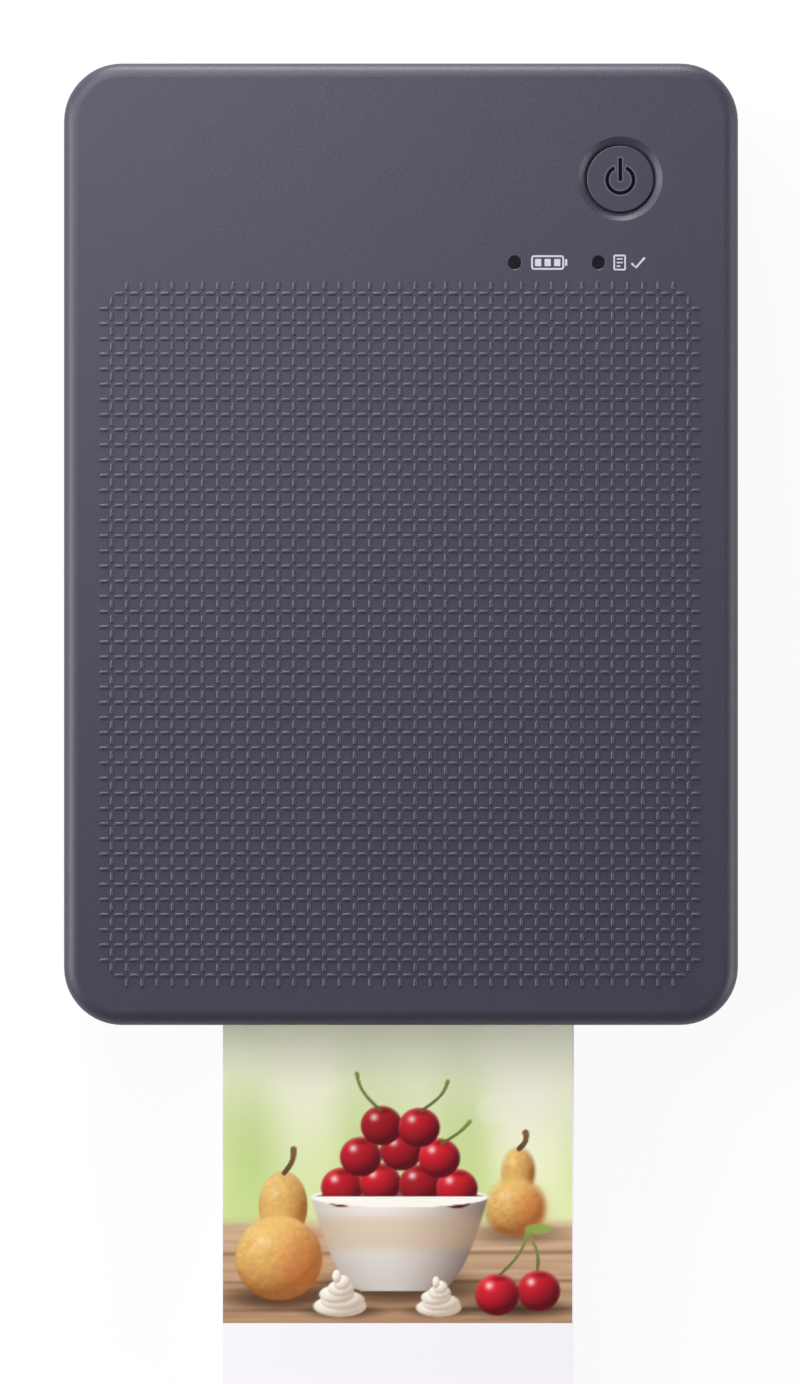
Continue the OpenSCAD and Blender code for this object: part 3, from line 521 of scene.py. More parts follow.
SLATE: Colour = (50, 48, 64)
SKIN = MouldedPlastic("cover skin", SLATE, roughness=0.48, specular=0.5, grain_depth=0.016,
                      mottling=0.012, speckle=0.07)
# The raised dashes take the cover's plastic made 1.1 times lighter: a painted sheen on them.
DASH_PAINTED_SHEEN = MouldedPlastic("cover dashes painted sheen", shade(SLATE, 1.1), roughness=0.42, specular=0.5,
                      grain=0.2, grain_depth=0.004, mottling=0.01, speckle=0.03)
LOWER_SKIN = MouldedPlastic("lower case skin", shade(SLATE, 0.93), roughness=0.56,
                            specular=0.4, mottling=0.012)
KEY = MouldedPlastic("power key", shade(SLATE, 1.02), roughness=0.42, specular=0.45, grain=0.16,
                     grain_depth=0.003, mottling=0.01, speckle=0.02)
INNER = MouldedPlastic("inner moulding", (44, 44, 50), roughness=0.6, specular=0.35, grain=0.4,
                       grain_depth=0.02, mottling=0.04)
GLIDE = MouldedPlastic("sheet guides", (56, 56, 63), roughness=0.45, grain=0.2,
                       grain_depth=0.005, mottling=0.03)
SCREEN_INK = Finish("screen ink", (172, 172, 186), roughness=0.5, mottle_size=1.2)
ICON_INK = Finish("icon ink", (4, 5, 10), roughness=0.7, specular=0.05, mottle_size=1.0)
# Light ring round the power icon's strokes: a painted highlight of the icon's edges.
ICON_PAINTED_HIGHLIGHT = Finish("icon painted highlight", (74, 74, 88), roughness=0.45, mottle_size=1.0)
LENS = SmokedLens("lamp lens", (14, 16, 22), roughness=0.2)
RUBBER = SoftRubber("foot rubber", (38, 38, 40), roughness=0.85, specular=0.3)
TYRE = SoftRubber("roller rubber", (34, 34, 37), roughness=0.7, specular=0.35)
STEEL = BrushedMetal("ground steel", (176, 177, 182), roughness=0.28)
SHEET_STEEL = BrushedMetal("sheet steel", (158, 160, 166), roughness=0.34,
                           direction=Direction.ALONG_Y, line=0.14)
WIRE = BrushedMetal("spring wire", (168, 168, 172), roughness=0.25,
                    direction=Direction.ALONG_Z, line=0.05)
ZINC = BrushedMetal("zinc plate", (186, 188, 194), roughness=0.3, line=0.2, line_depth=0.002)
PLATED = BrushedMetal("galvanised plate", (164, 168, 174), roughness=0.42,
                      direction=Direction.ALONG_Y, line=0.4, line_depth=0.004)
EXTRUDED = BrushedMetal("extruded alloy", (190, 192, 197), roughness=0.33, line=0.12)
BRASS = BrushedMetal("sintered brass", (196, 158, 92), roughness=0.38, line=0.1)
GOLD = BrushedMetal("contact gold", (222, 180, 96), roughness=0.2, line=0.06)
TIN = BrushedMetal("solder tin", (178, 180, 184), roughness=0.35, line=0.1)
ACETAL = MouldedPlastic("acetal", (226, 222, 210), roughness=0.4, grain=0.3,
                        grain_depth=0.003, mottling=0.012, speckle=0.02)
RESIST = CircuitBoard("solder resist", (20, 84, 52), roughness=0.35)
EPOXY = MouldedPlastic("chip epoxy", (30, 30, 33), roughness=0.55, grain=0.2,
                       grain_depth=0.006)
CERAMIC = Finish("head ceramic", (214, 206, 186), roughness=0.22)
SHELL = MouldedPlastic("cassette shell", (30, 30, 33), roughness=0.3, grain=0.25,
                       grain_depth=0.004)
YELLOW_FILM = WoundFilm("yellow dye film", (188, 146, 34), roughness=0.22)
BLUE_FILM = WoundFilm("spent dye film", (46, 62, 110), roughness=0.22)
SLEEVE = Finish("battery sleeve", (58, 66, 78), roughness=0.3)
STOCK = PlainPaper("card stock", (242, 239, 245), roughness=0.55)
PHOTO_PAPER = PrintSurface("photo paper", (242, 238, 245), roughness=0.34, specular=0.35)


# ---------- meshes ----------

def make_object(name: str, mesh: bpy.types.Mesh, finish: Finish | None = None,
                smooth: bool = False) -> bpy.types.Object:
    """Links a mesh to the scene under a name, with a finish.

    Args:
        name: name of the piece.
        mesh: its mesh, in metres and in place.
        finish: finish of all its faces, or none to keep the mesh's own.
        smooth: whether its faces are shaded smooth.

    Returns:
        The new object.
    """
    piece = bpy.data.objects.new(name, mesh)
    mesh.name = name
    bpy.context.scene.collection.objects.link(piece)
    if finish is not None:
        mesh.materials.clear()
        mesh.materials.append(finish.material())
    if smooth:
        mesh.shade_smooth()
    return piece


def mesh_of(shape: bmesh.types.BMesh, outward: bool = True) -> bpy.types.Mesh:
    """Turns bmesh geometry in millimetres into a mesh in metres.

    Args:
        shape: the geometry, which is freed.
        outward: whether its faces are turned outward first.

    Returns:
        The mesh.
    """
    if outward:
        bmesh.ops.recalc_face_normals(shape, faces=shape.faces)
    shape.transform(Matrix.Scale(MM, 4))
    mesh = bpy.data.meshes.new("shape")
    shape.to_mesh(mesh)
    shape.free()
    return mesh


def add_prism(shape: bmesh.types.BMesh, outline: Sequence[Spot], levels: Sequence[Spot]
              ) -> None:
    """Adds a closed solid whose outline is drawn in X and Y.

    Args:
        shape: mesh that gets the solid.
        outline: its corners, counterclockwise and convex enough for the insets.
        levels: height and inset of each ring of the outline, from the bottom up.
    """
    rings = [[shape.verts.new((*corner, z)) for corner in inset_outline(outline, inset)]
             for z, inset in levels]
    count = len(outline)
    for lower, upper in zip(rings, rings[1:]):
        for i in range(count):
            j = (i + 1) % count
            shape.faces.new((lower[i], lower[j], upper[j], upper[i]))
    shape.faces.new(list(reversed(rings[0])))
    shape.faces.new(rings[-1])


def inset_outline(outline: Sequence[Spot], inset: float) -> list[Spot]:
    """Moves an outline inwards along its corners' mitres.

    Args:
        outline: its corners, counterclockwise.
        inset: distance between the old and the new sides.

    Returns:
        The new corners.
    """
    if not inset:
        return list(outline)
    points = [Vector(p) for p in outline]
    moved = []
    for i, point in enumerate(points):
        before = (point - points[i - 1]).normalized()
        after = (points[(i + 1) % len(points)] - point).normalized()
        normal = Vector((-before.y - after.y, before.x + after.x)).normalized()
        cosine = max(MITRE_LIMIT, normal.dot(Vector((-before.y, before.x))))
        moved.append(tuple(point + normal * inset / cosine))
    return moved


def round_outline(width: float, length: float, radius: float, centre: Spot = (0.0, 0.0),
                  steps: int = 6) -> list[Spot]:
    """Rounded rectangle, counterclockwise.

    Args:
        width: size along X.
        length: size along Y.
        radius: corner radius.
        centre: its middle.
        steps: segments in each corner.

    Returns:
        The corners of the outline.
    """
    points = []
    for turn, (sx, sy) in enumerate(((1, 1), (-1, 1), (-1, -1), (1, -1))):
        cx, cy = sx * (width / 2 - radius), sy * (length / 2 - radius)
        for k in range(steps + 1):
            angle = math.pi / 2 * (turn + k / steps)
            points.append((centre[0] + cx + radius * math.cos(angle),
                           centre[1] + cy + radius * math.sin(angle)))
    return points


def disc_outline(radius: float, centre: Spot = (0.0, 0.0), steps: int = 32) -> list[Spot]:
    """Circle as an outline, counterclockwise."""
    return [(centre[0] + radius * math.cos(math.tau * k / steps),
             centre[1] + radius * math.sin(math.tau * k / steps)) for k in range(steps)]


def add_band(shape: bmesh.types.BMesh, inner: Sequence[Spot], outer: Sequence[Spot],
             bottom: float, top: float, closed: bool) -> None:
    """Adds a flat band between two lines of equal length, with thickness.

    Args:
        shape: mesh that gets the band.
        inner: points of the one side.
        outer: points of the other side.
        bottom: height of its underside.
        top: height of its top.
        closed: whether the band runs back to its start.
    """
    rows = [[shape.verts.new((*p, z)) for p in line]
            for line, z in ((inner, bottom), (outer, bottom), (outer, top), (inner, top))]
    count = len(inner)
    for i in range(count if closed else count - 1):
        j = (i + 1) % count
        for a, b in zip(rows, rows[1:] + rows[:1]):
            shape.faces.new((a[i], a[j], b[j], b[i]))
    if not closed:
        shape.faces.new([row[0] for row in rows])
        shape.faces.new([row[-1] for row in reversed(rows)])


def add_arc(shape: bmesh.types.BMesh, centre: Spot, radius: float, stroke: float,
            start: float, end: float, bottom: float, top: float, steps: int = 48) -> None:
    """Adds an arc of a given stroke; a full turn closes on itself.

    Args:
        shape: mesh that gets the arc.
        centre: its middle.
        radius: radius of the middle of the stroke.
        stroke: width of the line.
        start: first angle in degrees.
        end: last angle in degrees.
        bottom: height of its underside.
        top: height of its top.
        steps: segments along the arc.
    """
    closed = abs(end - start - 360) < SLACK
    angles = [math.radians(start + (end - start) * k / steps)
              for k in range(steps if closed else steps + 1)]
    lines = [[(centre[0] + r * math.cos(a), centre[1] + r * math.sin(a)) for a in angles]
             for r in (radius - stroke / 2, radius + stroke / 2)]
    add_band(shape, lines[0], lines[1], bottom, top, closed)


def add_stroke(shape: bmesh.types.BMesh, line: Sequence[Spot], stroke: float,
               bottom: float, top: float) -> None:
    """Adds an open line with square ends.

    Args:
        shape: mesh that gets the line.
        line: its points.
        stroke: its width.
        bottom: height of its underside.
        top: height of its top.
    """
    points = [Vector(p) for p in line]
    sides: tuple[list, list] = ([], [])
    for i, point in enumerate(points):
        ahead = points[min(i + 1, len(points) - 1)] - points[max(i - 1, 0)]
        normal = Vector((-ahead.y, ahead.x)).normalized() * stroke / 2
        sides[0].append(tuple(point + normal))
        sides[1].append(tuple(point - normal))
    add_band(shape, sides[0], sides[1], bottom, top, False)


def settle(piece: bpy.types.Object, name: str, finish: Finish | None = None
           ) -> bpy.types.Object:
    """Replaces a piece with live modifiers by one with the plain result as its mesh.

    Args:
        piece: object whose modifiers are evaluated; it is removed.
        name: name of the new piece.
        finish: finish of the new piece, or none to keep the materials of the result.

    Returns:
        The plain piece.
    """
    graph = bpy.context.evaluated_depsgraph_get()
    mesh = bpy.data.meshes.new_from_object(piece.evaluated_get(graph), depsgraph=graph)
    bpy.data.objects.remove(piece)
    return make_object(name, mesh, finish)


# ---------- repeated features ----------

class PartsTree(NodeSheet):
    """A Geometry Nodes tree with named inputs that ends in one dressed mesh."""

    def __init__(self, name: str, inputs: Sequence[tuple[str, str, Any]]) -> None:
        """Starts a tree.

        Args:
            name: name of the tree.
            inputs: name, socket type and default of each input between the geometry, which
                comes first, and the finish, which comes last.
        """
        super().__init__(bpy.data.node_groups.new(name, "GeometryNodeTree"))
        face = self.tree.interface
        face.new_socket("Geometry", in_out="INPUT", socket_type="NodeSocketGeometry")
        self.identifiers = {}
        for label, kind, default in (*inputs, ("Finish", "NodeSocketMaterial", None)):
            socket = face.new_socket(label, in_out="INPUT", socket_type=kind)
            if default is not None:
                socket.default_value = default
            self.identifiers[label] = socket.identifier
        face.new_socket("Geometry", in_out="OUTPUT", socket_type="NodeSocketGeometry")
        self.inputs = self.add("NodeGroupInput").outputs

    def close(self, points: bpy.types.NodeSocket, part: bpy.types.NodeSocket,
              **settings: bpy.types.NodeSocket) -> None:
        """Ends the tree: a part on every point, made real and dressed.

        Args:
            points: the points.
            part: the geometry that is repeated.
            **settings: further inputs of Instance on Points.
        """
        parts = self.add("GeometryNodeInstanceOnPoints", {"Points": points, "Instance": part,
                                                          **settings})
        real = self.add("GeometryNodeRealizeInstances", {0: parts.outputs[0]})
        dressed = self.add("GeometryNodeSetMaterial", {"Geometry": real.outputs[0],
                                                       "Material": self.inputs["Finish"]})
        self.add("NodeGroupOutput", {0: dressed.outputs[0]})

    def build(self, name: str, base: bpy.types.Mesh, finish: Finish,
              **values: Any) -> bpy.types.Object:
        """Runs the tree once and keeps its result as a plain piece.

        Args:
            name: name of the piece.
            base: mesh that goes into the tree.
            finish: finish of the result.
            **values: the tree's inputs, with an underscore for a space.

        Returns:
            The piece.
        """
        carrier = make_object(name + " carrier", base)
        modifier = carrier.modifiers.new("parts", "NODES")
        modifier.node_group = self.tree
        modifier[self.identifiers["Finish"]] = finish.material()
        for label, value in values.items():
            modifier[self.identifiers[label.replace("_", " ")]] = value
        return settle(carrier, name)


def dash_tree() -> PartsTree:
    """Plans the repeat of a dash over a grid without its four corner points.

    Returns:
        The tree.
    """
    tree = PartsTree("dash field", (
        ("Columns", "NodeSocketInt", 2), ("Rows", "NodeSocketInt", 2),
        ("Pitch across", "NodeSocketFloat", 0.0023), ("Pitch along", "NodeSocketFloat", 0.0023),
        ("Centre", "NodeSocketVector", (0, 0, 0))))
    given = tree.inputs
    sizes = [tree.math("MULTIPLY", tree.math("SUBTRACT", given[count], 1.0), given[pitch])
             for count, pitch in (("Columns", "Pitch across"), ("Rows", "Pitch along"))]
    grid = tree.add("GeometryNodeMeshGrid", {
        "Size X": sizes[0], "Size Y": sizes[1], "Vertices X": given["Columns"],
        "Vertices Y": given["Rows"]})
    spot = tree.add("ShaderNodeSeparateXYZ", {0: tree.add("GeometryNodeInputPosition").outputs[0]})
    outer = []
    for axis, (size, pitch) in enumerate(zip(sizes, ("Pitch across", "Pitch along"))):
        limit = tree.math("MULTIPLY", tree.math("SUBTRACT", size, given[pitch]), 0.5)
        outer.append(tree.math("GREATER_THAN", tree.math("ABSOLUTE", spot.outputs[axis]), limit))
    points = tree.add("GeometryNodeDeleteGeometry", {
        0: grid.outputs[0], "Selection": tree.math("MULTIPLY", *outer)}, domain="POINT")
    placed = tree.add("GeometryNodeSetPosition", {0: points.outputs[0], "Offset": given["Centre"]})
    tree.close(placed.outputs[0], given["Geometry"])
    return tree


def spot_tree() -> PartsTree:
    """Plans a part on every point, turned as asked and spun by a fixed seed.

    Returns:
        The tree.
    """
    tree = PartsTree("parts on spots", (
        ("Part", "NodeSocketObject", None), ("Turn", "NodeSocketVector", (0, 0, 0)),
        ("Spin", "NodeSocketFloat", 0.0), ("Seed", "NodeSocketInt", 1)))
    given = tree.inputs
    part = tree.add("GeometryNodeObjectInfo", {"Object": given["Part"]})
    spin = tree.add("FunctionNodeRandomValue", {"Seed": given["Seed"]}, data_type="FLOAT")
    spun = tree.math("MULTIPLY", spin.outputs[1], given["Spin"])
    turn = tree.add("ShaderNodeVectorMath", {
        0: given["Turn"], 1: tree.add("ShaderNodeCombineXYZ", {2: spun}).outputs[0]},
        operation="ADD")
    rotation = tree.add("FunctionNodeEulerToRotation", {0: turn.outputs[0]})
    tree.close(given["Geometry"], part.outputs["Geometry"], Rotation=rotation.outputs[0])
    return tree


def coil_tree() -> PartsTree:
    """Plans a wire coil on every point, standing along Z before it is turned.

    Returns:
        The tree.
    """
    tree = PartsTree("wire coils", (
        ("Turns", "NodeSocketFloat", 6.0), ("Radius", "NodeSocketFloat", 0.002),
        ("Wire", "NodeSocketFloat", 0.0002), ("Length", "NodeSocketFloat", 0.007),
        ("Turn", "NodeSocketVector", (0, 0, 0))))
    given = tree.inputs
    spiral = tree.add("GeometryNodeCurveSpiral", {
        "Resolution": COIL_STEPS, "Rotations": given["Turns"], "Start Radius": given["Radius"],
        "End Radius": given["Radius"], "Height": given["Length"]})
    ring = tree.add("GeometryNodeCurvePrimitiveCircle", {
        "Resolution": WIRE_SIDES, "Radius": given["Wire"]})
    wire = tree.add("GeometryNodeCurveToMesh", {
        "Curve": spiral.outputs[0], "Profile Curve": ring.outputs[0], "Fill Caps": True})
    rotation = tree.add("FunctionNodeEulerToRotation", {0: given["Turn"]})
    tree.close(given["Geometry"], wire.outputs[0], Rotation=rotation.outputs[0])
    return tree


def pile_tree() -> PartsTree:
    """Plans a pile of sheets, each one pushed slightly aside by a fixed seed.

    Returns:
        The tree.
    """
    tree = PartsTree("sheet pile", (
        ("Count", "NodeSocketInt", 10), ("Rise", "NodeSocketFloat", 0.00025),
        ("Shift", "NodeSocketFloat", 0.00005), ("Seed", "NodeSocketInt", 1)))
    given = tree.inputs
    step = tree.add("ShaderNodeCombineXYZ", {2: given["Rise"]})
    line = tree.add("GeometryNodeMeshLine", {"Count": given["Count"], "Offset": step.outputs[0]})
    offset = []
    for seed_step in (0.0, 7.0):
        draw = tree.add("FunctionNodeRandomValue", {
            2: -1.0, 3: 1.0, "Seed": tree.math("ADD", given["Seed"], seed_step)},
            data_type="FLOAT")
        offset.append(tree.math("MULTIPLY", draw.outputs[1], given["Shift"]))
    shift = tree.add("ShaderNodeCombineXYZ", {0: offset[0], 1: offset[1]})
    moved = tree.add("GeometryNodeSetPosition", {0: line.outputs[0], "Offset": shift.outputs[0]})
    tree.close(moved.outputs[0], given["Geometry"])
    return tree


def points_mesh(points: Sequence[Point]) -> bpy.types.Mesh:
    """Loose points in millimetres as a mesh in metres."""
    mesh = bpy.data.meshes.new("spots")
    mesh.from_pydata([tuple(c * MM for c in p) for p in points], [], [])
    return mesh


@dataclass(frozen=True)
class Coil:
    """A spring's sizes: radius of its centre line, radius of its wire, number of turns."""

    radius: float
    wire: float
    turns: float

    def wind(self, coils: PartsTree, name: str, feet: Sequence[Point], length: float,
             turn: Point = (0.0, 0.0, 0.0)) -> bpy.types.Object:
        """Winds equal springs as one piece.

        Args:
            coils: tree that winds coils.
            name: name of the piece.
            feet: lower end of each spring.
            length: length over the wire.
            turn: turn of the springs' axes from Z.

        Returns:
            The piece.
        """
        axis = Vector((0, 0, 1))
        axis.rotate(Euler(turn))
        spots = [tuple(Vector(foot) + axis * self.wire) for foot in feet]
        return coils.build(name, points_mesh(spots), WIRE, Turns=self.turns,
                           Radius=self.radius * MM, Wire=self.wire * MM,
                           Length=(length - 2 * self.wire) * MM, Turn=turn)


# ---------- shared steps ----------

def casing_box(node: str) -> tuple[Vector, Vector]:
    """Lowest and highest corner of a CAD node, in millimetres from the casing's middle."""
    low, high = (corner / MM - Vector((0, CASING_Y, 0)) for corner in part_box(node))
    return low, high


def dress(finishes: dict[str, Finish]) -> None:
    """Gives CAD nodes their finishes.

    Args:
        finishes: the finish of each node, by the node's name.
    """
    for node, finish in finishes.items():
        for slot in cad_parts[node].material_slots:
            slot.material = finish.material()
        log.info("%s is dressed in %s", node, finish.name)


def keep(piece: bpy.types.Object, body: str, slot: str, *replaced: str) -> bpy.types.Object:
    """Puts a piece in its place in the frame and makes it ride on a body.

    Args:
        piece: finished piece, drawn about the casing's middle.
        body: name of the CAD body.
        slot: not used.
        *replaced: CAD nodes that the piece stands for.

    Returns:
        The piece.
    """
    piece.data.transform(Matrix.Translation((0, CASING_Y * MM, 0)))
    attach(piece, body)
    if replaced:
        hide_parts(*replaced)
    log.info("%s rides on %s with %d faces", piece.name, body, len(piece.data.polygons))
    return piece


# ---------- sub-assemblies ----------

@dataclass
class Cover:
    """Hinged top cover with its field of raised dashes and the lamp pictograms."""

    top: float = 33.1
    columns: int = 39
    rows: int = 46
    first_column: float = -43.8
    last_column: float = 43.5
    first_row: float = -65.3
    last_row: float = 37.9
    dash_width: float = 0.56
    dash_along: float = 1.34
    dash_across: float = 1.52
    dash_height: float = 0.2
    dash_corner: float = 0.42
    dash_profile: tuple[Spot, ...] = ((0.4, 0.0), (0.8, 0.08), (1.0, 0.2))
    foot: float = 0.06
    ink: float = 0.02
    ink_foot: float = 0.01
    lamp_row: float = 42.6
    battery_at: float = 22.2
    battery_size: Spot = (5.0, 2.2)
    battery_corner: float = 0.45
    battery_line: float = 0.28
    cap_size: Spot = (0.36, 1.0)
    cap_corner: float = 0.1
    cap_gap: float = 0.12
    cell_size: Spot = (0.95, 1.1)
    cell_corner: float = 0.12
    cell_pitch: float = 1.45
    page_at: float = 33.1
    page_size: Spot = (1.9, 2.4)
    page_corner: float = 0.3
    page_line: float = 0.26
    page_rows: tuple[float, ...] = (0.9, 0.9, 0.55)
    row_pitch: float = 0.55
    row_line: float = 0.22
    tick: tuple[Spot, ...] = ((34.9, -0.1), (35.55, -0.75), (36.9, 0.75))
    tick_line: float = 0.34
    finishes: dict[str, Finish] = field(default_factory=lambda: {
        "top_cover": SKIN, "lid_inner_panel": INNER})

    def dash(self, width: float, length: float) -> bpy.types.Mesh:
        """Shapes a raised dash with a rounded back, its foot sunk in the cover.

        Args:
            width: its size along X.
            length: its size along Y.

        Returns:
            The mesh of one dash.
        """
        shape = bmesh.new()
        outline = round_outline(width, length, min(width, length) * self.dash_corner, steps=2)
        levels = [(self.dash_height * share, inset) for share, inset in self.dash_profile]
        add_prism(shape, outline, [(-self.foot, 0.0), *levels])
        mesh = mesh_of(shape)
        mesh.shade_smooth()
        return mesh

    def add_dashes(self) -> None:
        """Lays the lengthwise and the crosswise dashes between the nodes of one grid."""
        across = (self.last_column - self.first_column) / (self.columns - 1)
        along = (self.last_row - self.first_row) / (self.rows - 1)
        centre = ((self.first_column + self.last_column) / 2 * MM,
                  (self.first_row + self.last_row) / 2 * MM, self.top * MM)
        tree = dash_tree()
        shared = {"Pitch_across": across * MM, "Pitch_along": along * MM, "Centre": centre}
        keep(tree.build("cover_dashes_lengthwise", self.dash(self.dash_width, self.dash_along),
                        DASH_PAINTED_SHEEN, Columns=self.columns, Rows=self.rows + 1, **shared),
             "lid", "top_cover")
        keep(tree.build("cover_dashes_crosswise", self.dash(self.dash_across, self.dash_width),
                        DASH_PAINTED_SHEEN, Columns=self.columns + 1, Rows=self.rows, **shared),
             "lid", "top_cover")

    def add_pictograms(self) -> None:
        """Prints a plain battery beside the one lamp and a ticked sheet beside the other."""
        low, high = self.top - self.ink_foot, self.top + self.ink
        block = ((low, 0.0), (high, 0.0))
        row = self.lamp_row
        shape = bmesh.new()
        for size, corner, x, line in (
                (self.battery_size, self.battery_corner, self.battery_at, self.battery_line),
                (self.page_size, self.page_corner, self.page_at, self.page_line)):
            outer = round_outline(*size, corner, (x, row))
            add_band(shape, inset_outline(outer, line), outer, low, high, True)
        cap = self.battery_at + (self.battery_size[0] + self.cap_size[0]) / 2 + self.cap_gap
        add_prism(shape, round_outline(*self.cap_size, self.cap_corner, (cap, row)), block)
        for k in (-1, 0, 1):
            cell = (self.battery_at + k * self.cell_pitch, row)
            add_prism(shape, round_outline(*self.cell_size, self.cell_corner, cell), block)
        left = self.page_at - self.page_rows[0] / 2
        for k, length in enumerate(self.page_rows):
            y = row + self.row_pitch * (1 - k)
            add_stroke(shape, ((left, y), (left + length, y)), self.row_line, low, high)
        add_stroke(shape, [(x, row + y) for x, y in self.tick], self.tick_line, low, high)
        keep(make_object("lamp_pictograms", mesh_of(shape), SCREEN_INK), "lid", "top_cover")

    def build(self) -> None:
        """Dresses the cover and adds what is on it."""
        dress(self.finishes)
        self.add_dashes()
        self.add_pictograms()


@dataclass
class PowerKey:
    """Round power key with its icon, and the two lamps."""

    centre: Spot = (33.2, 55.15)
    top: float = 32.8
    ring_radius: float = 2.0
    stroke: float = 0.54
    gap: float = 26.0
    bar: Spot = (55.0, 58.42)
    # Width added round the strokes for the painted highlight ring.
    rim: float = 0.4
    foot: float = 0.02
    # Height of the painted highlight ring over the key.
    highlight_lift: float = 0.008
    ink_lift: float = 0.016
    finishes: dict[str, Finish] = field(default_factory=lambda: {
        "power_button": KEY, "switch_plunger": EPOXY, "charge_lamp_lens": LENS,
        "status_lamp_lens": LENS})

    def icon(self, grow: float, lift: float) -> bpy.types.Mesh:
        """Shapes a ring with a gap at its top and a bar in the gap.

        Args:
            grow: what the strokes are wider by.
            lift: height over the key.

        Returns:
            The icon's mesh.
        """
        shape = bmesh.new()
        low, top = self.top - self.foot, self.top + lift
        half_gap = self.gap - math.degrees(grow / 2 / self.ring_radius)
        add_arc(shape, self.centre, self.ring_radius, self.stroke + grow, 90 + half_gap,
                450 - half_gap, low, top)
        x = self.centre[0]
        add_stroke(shape, ((x, self.bar[0] - grow / 2), (x, self.bar[1] + grow / 2)),
                   self.stroke + grow, low, top)
        return mesh_of(shape)

    def build(self) -> None:
        """Dresses the key and lays the icon on it, over a wider light ring that is a painted
        highlight round the strokes.
        """
        dress(self.finishes)
        for name, grow, lift, finish in (("key_icon_edge", self.rim, self.highlight_lift, ICON_PAINTED_HIGHLIGHT),
                                         ("key_icon", 0.0, self.ink_lift, ICON_INK)):
            keep(make_object(name, self.icon(grow, lift), finish), "button", "power_button")


@dataclass
class LowerCase:
    """Lower casing with its feet, the ribbon bay door and the lid catch."""

    finishes: dict[str, Finish] = field(default_factory=lambda: {
        "bottom_case": LOWER_SKIN, "cassette_door": LOWER_SKIN, "latch_slider": GLIDE,
        "rubber_feet": RUBBER, "hinge_pins": STEEL, "door_pins": STEEL, "paper_tray": INNER,
        "card_guides": GLIDE, "paper_guide": GLIDE})

    def build(self) -> None:
        """Dresses the casing and what is fixed in it."""
        dress(self.finishes)


@dataclass
class PressurePlate:
    """Sprung plate under the lid that holds the stock down."""

    spring_spots: tuple[Spot, ...] = ((-18, 2), (-18, 32), (18, 2), (18, 32))
    coil: Coil = Coil(2.1, 0.2, 6.0)
    travel: float = 3.0

    def build(self, coils: PartsTree) -> None:
        """Dresses the plate and winds its springs.

        Args:
            coils: tree that winds coils.
        """
        dress({"pressure_plate": SHEET_STEEL})
        low, high = casing_box("pressure_springs")
        springs = self.coil.wind(coils, "plate_springs",
                                 [(x, y, low.z) for x, y in self.spring_spots], high.z - low.z)
        keep(springs, "lid", "pressure_springs", "pressure_springs")
        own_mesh(springs)


@dataclass(frozen=True)
class ScrewSize:
    """Radius and height of a screw's head, radius and length of its shank."""

    head_r: float
    head_h: float
    shank_r: float
    shank_l: float


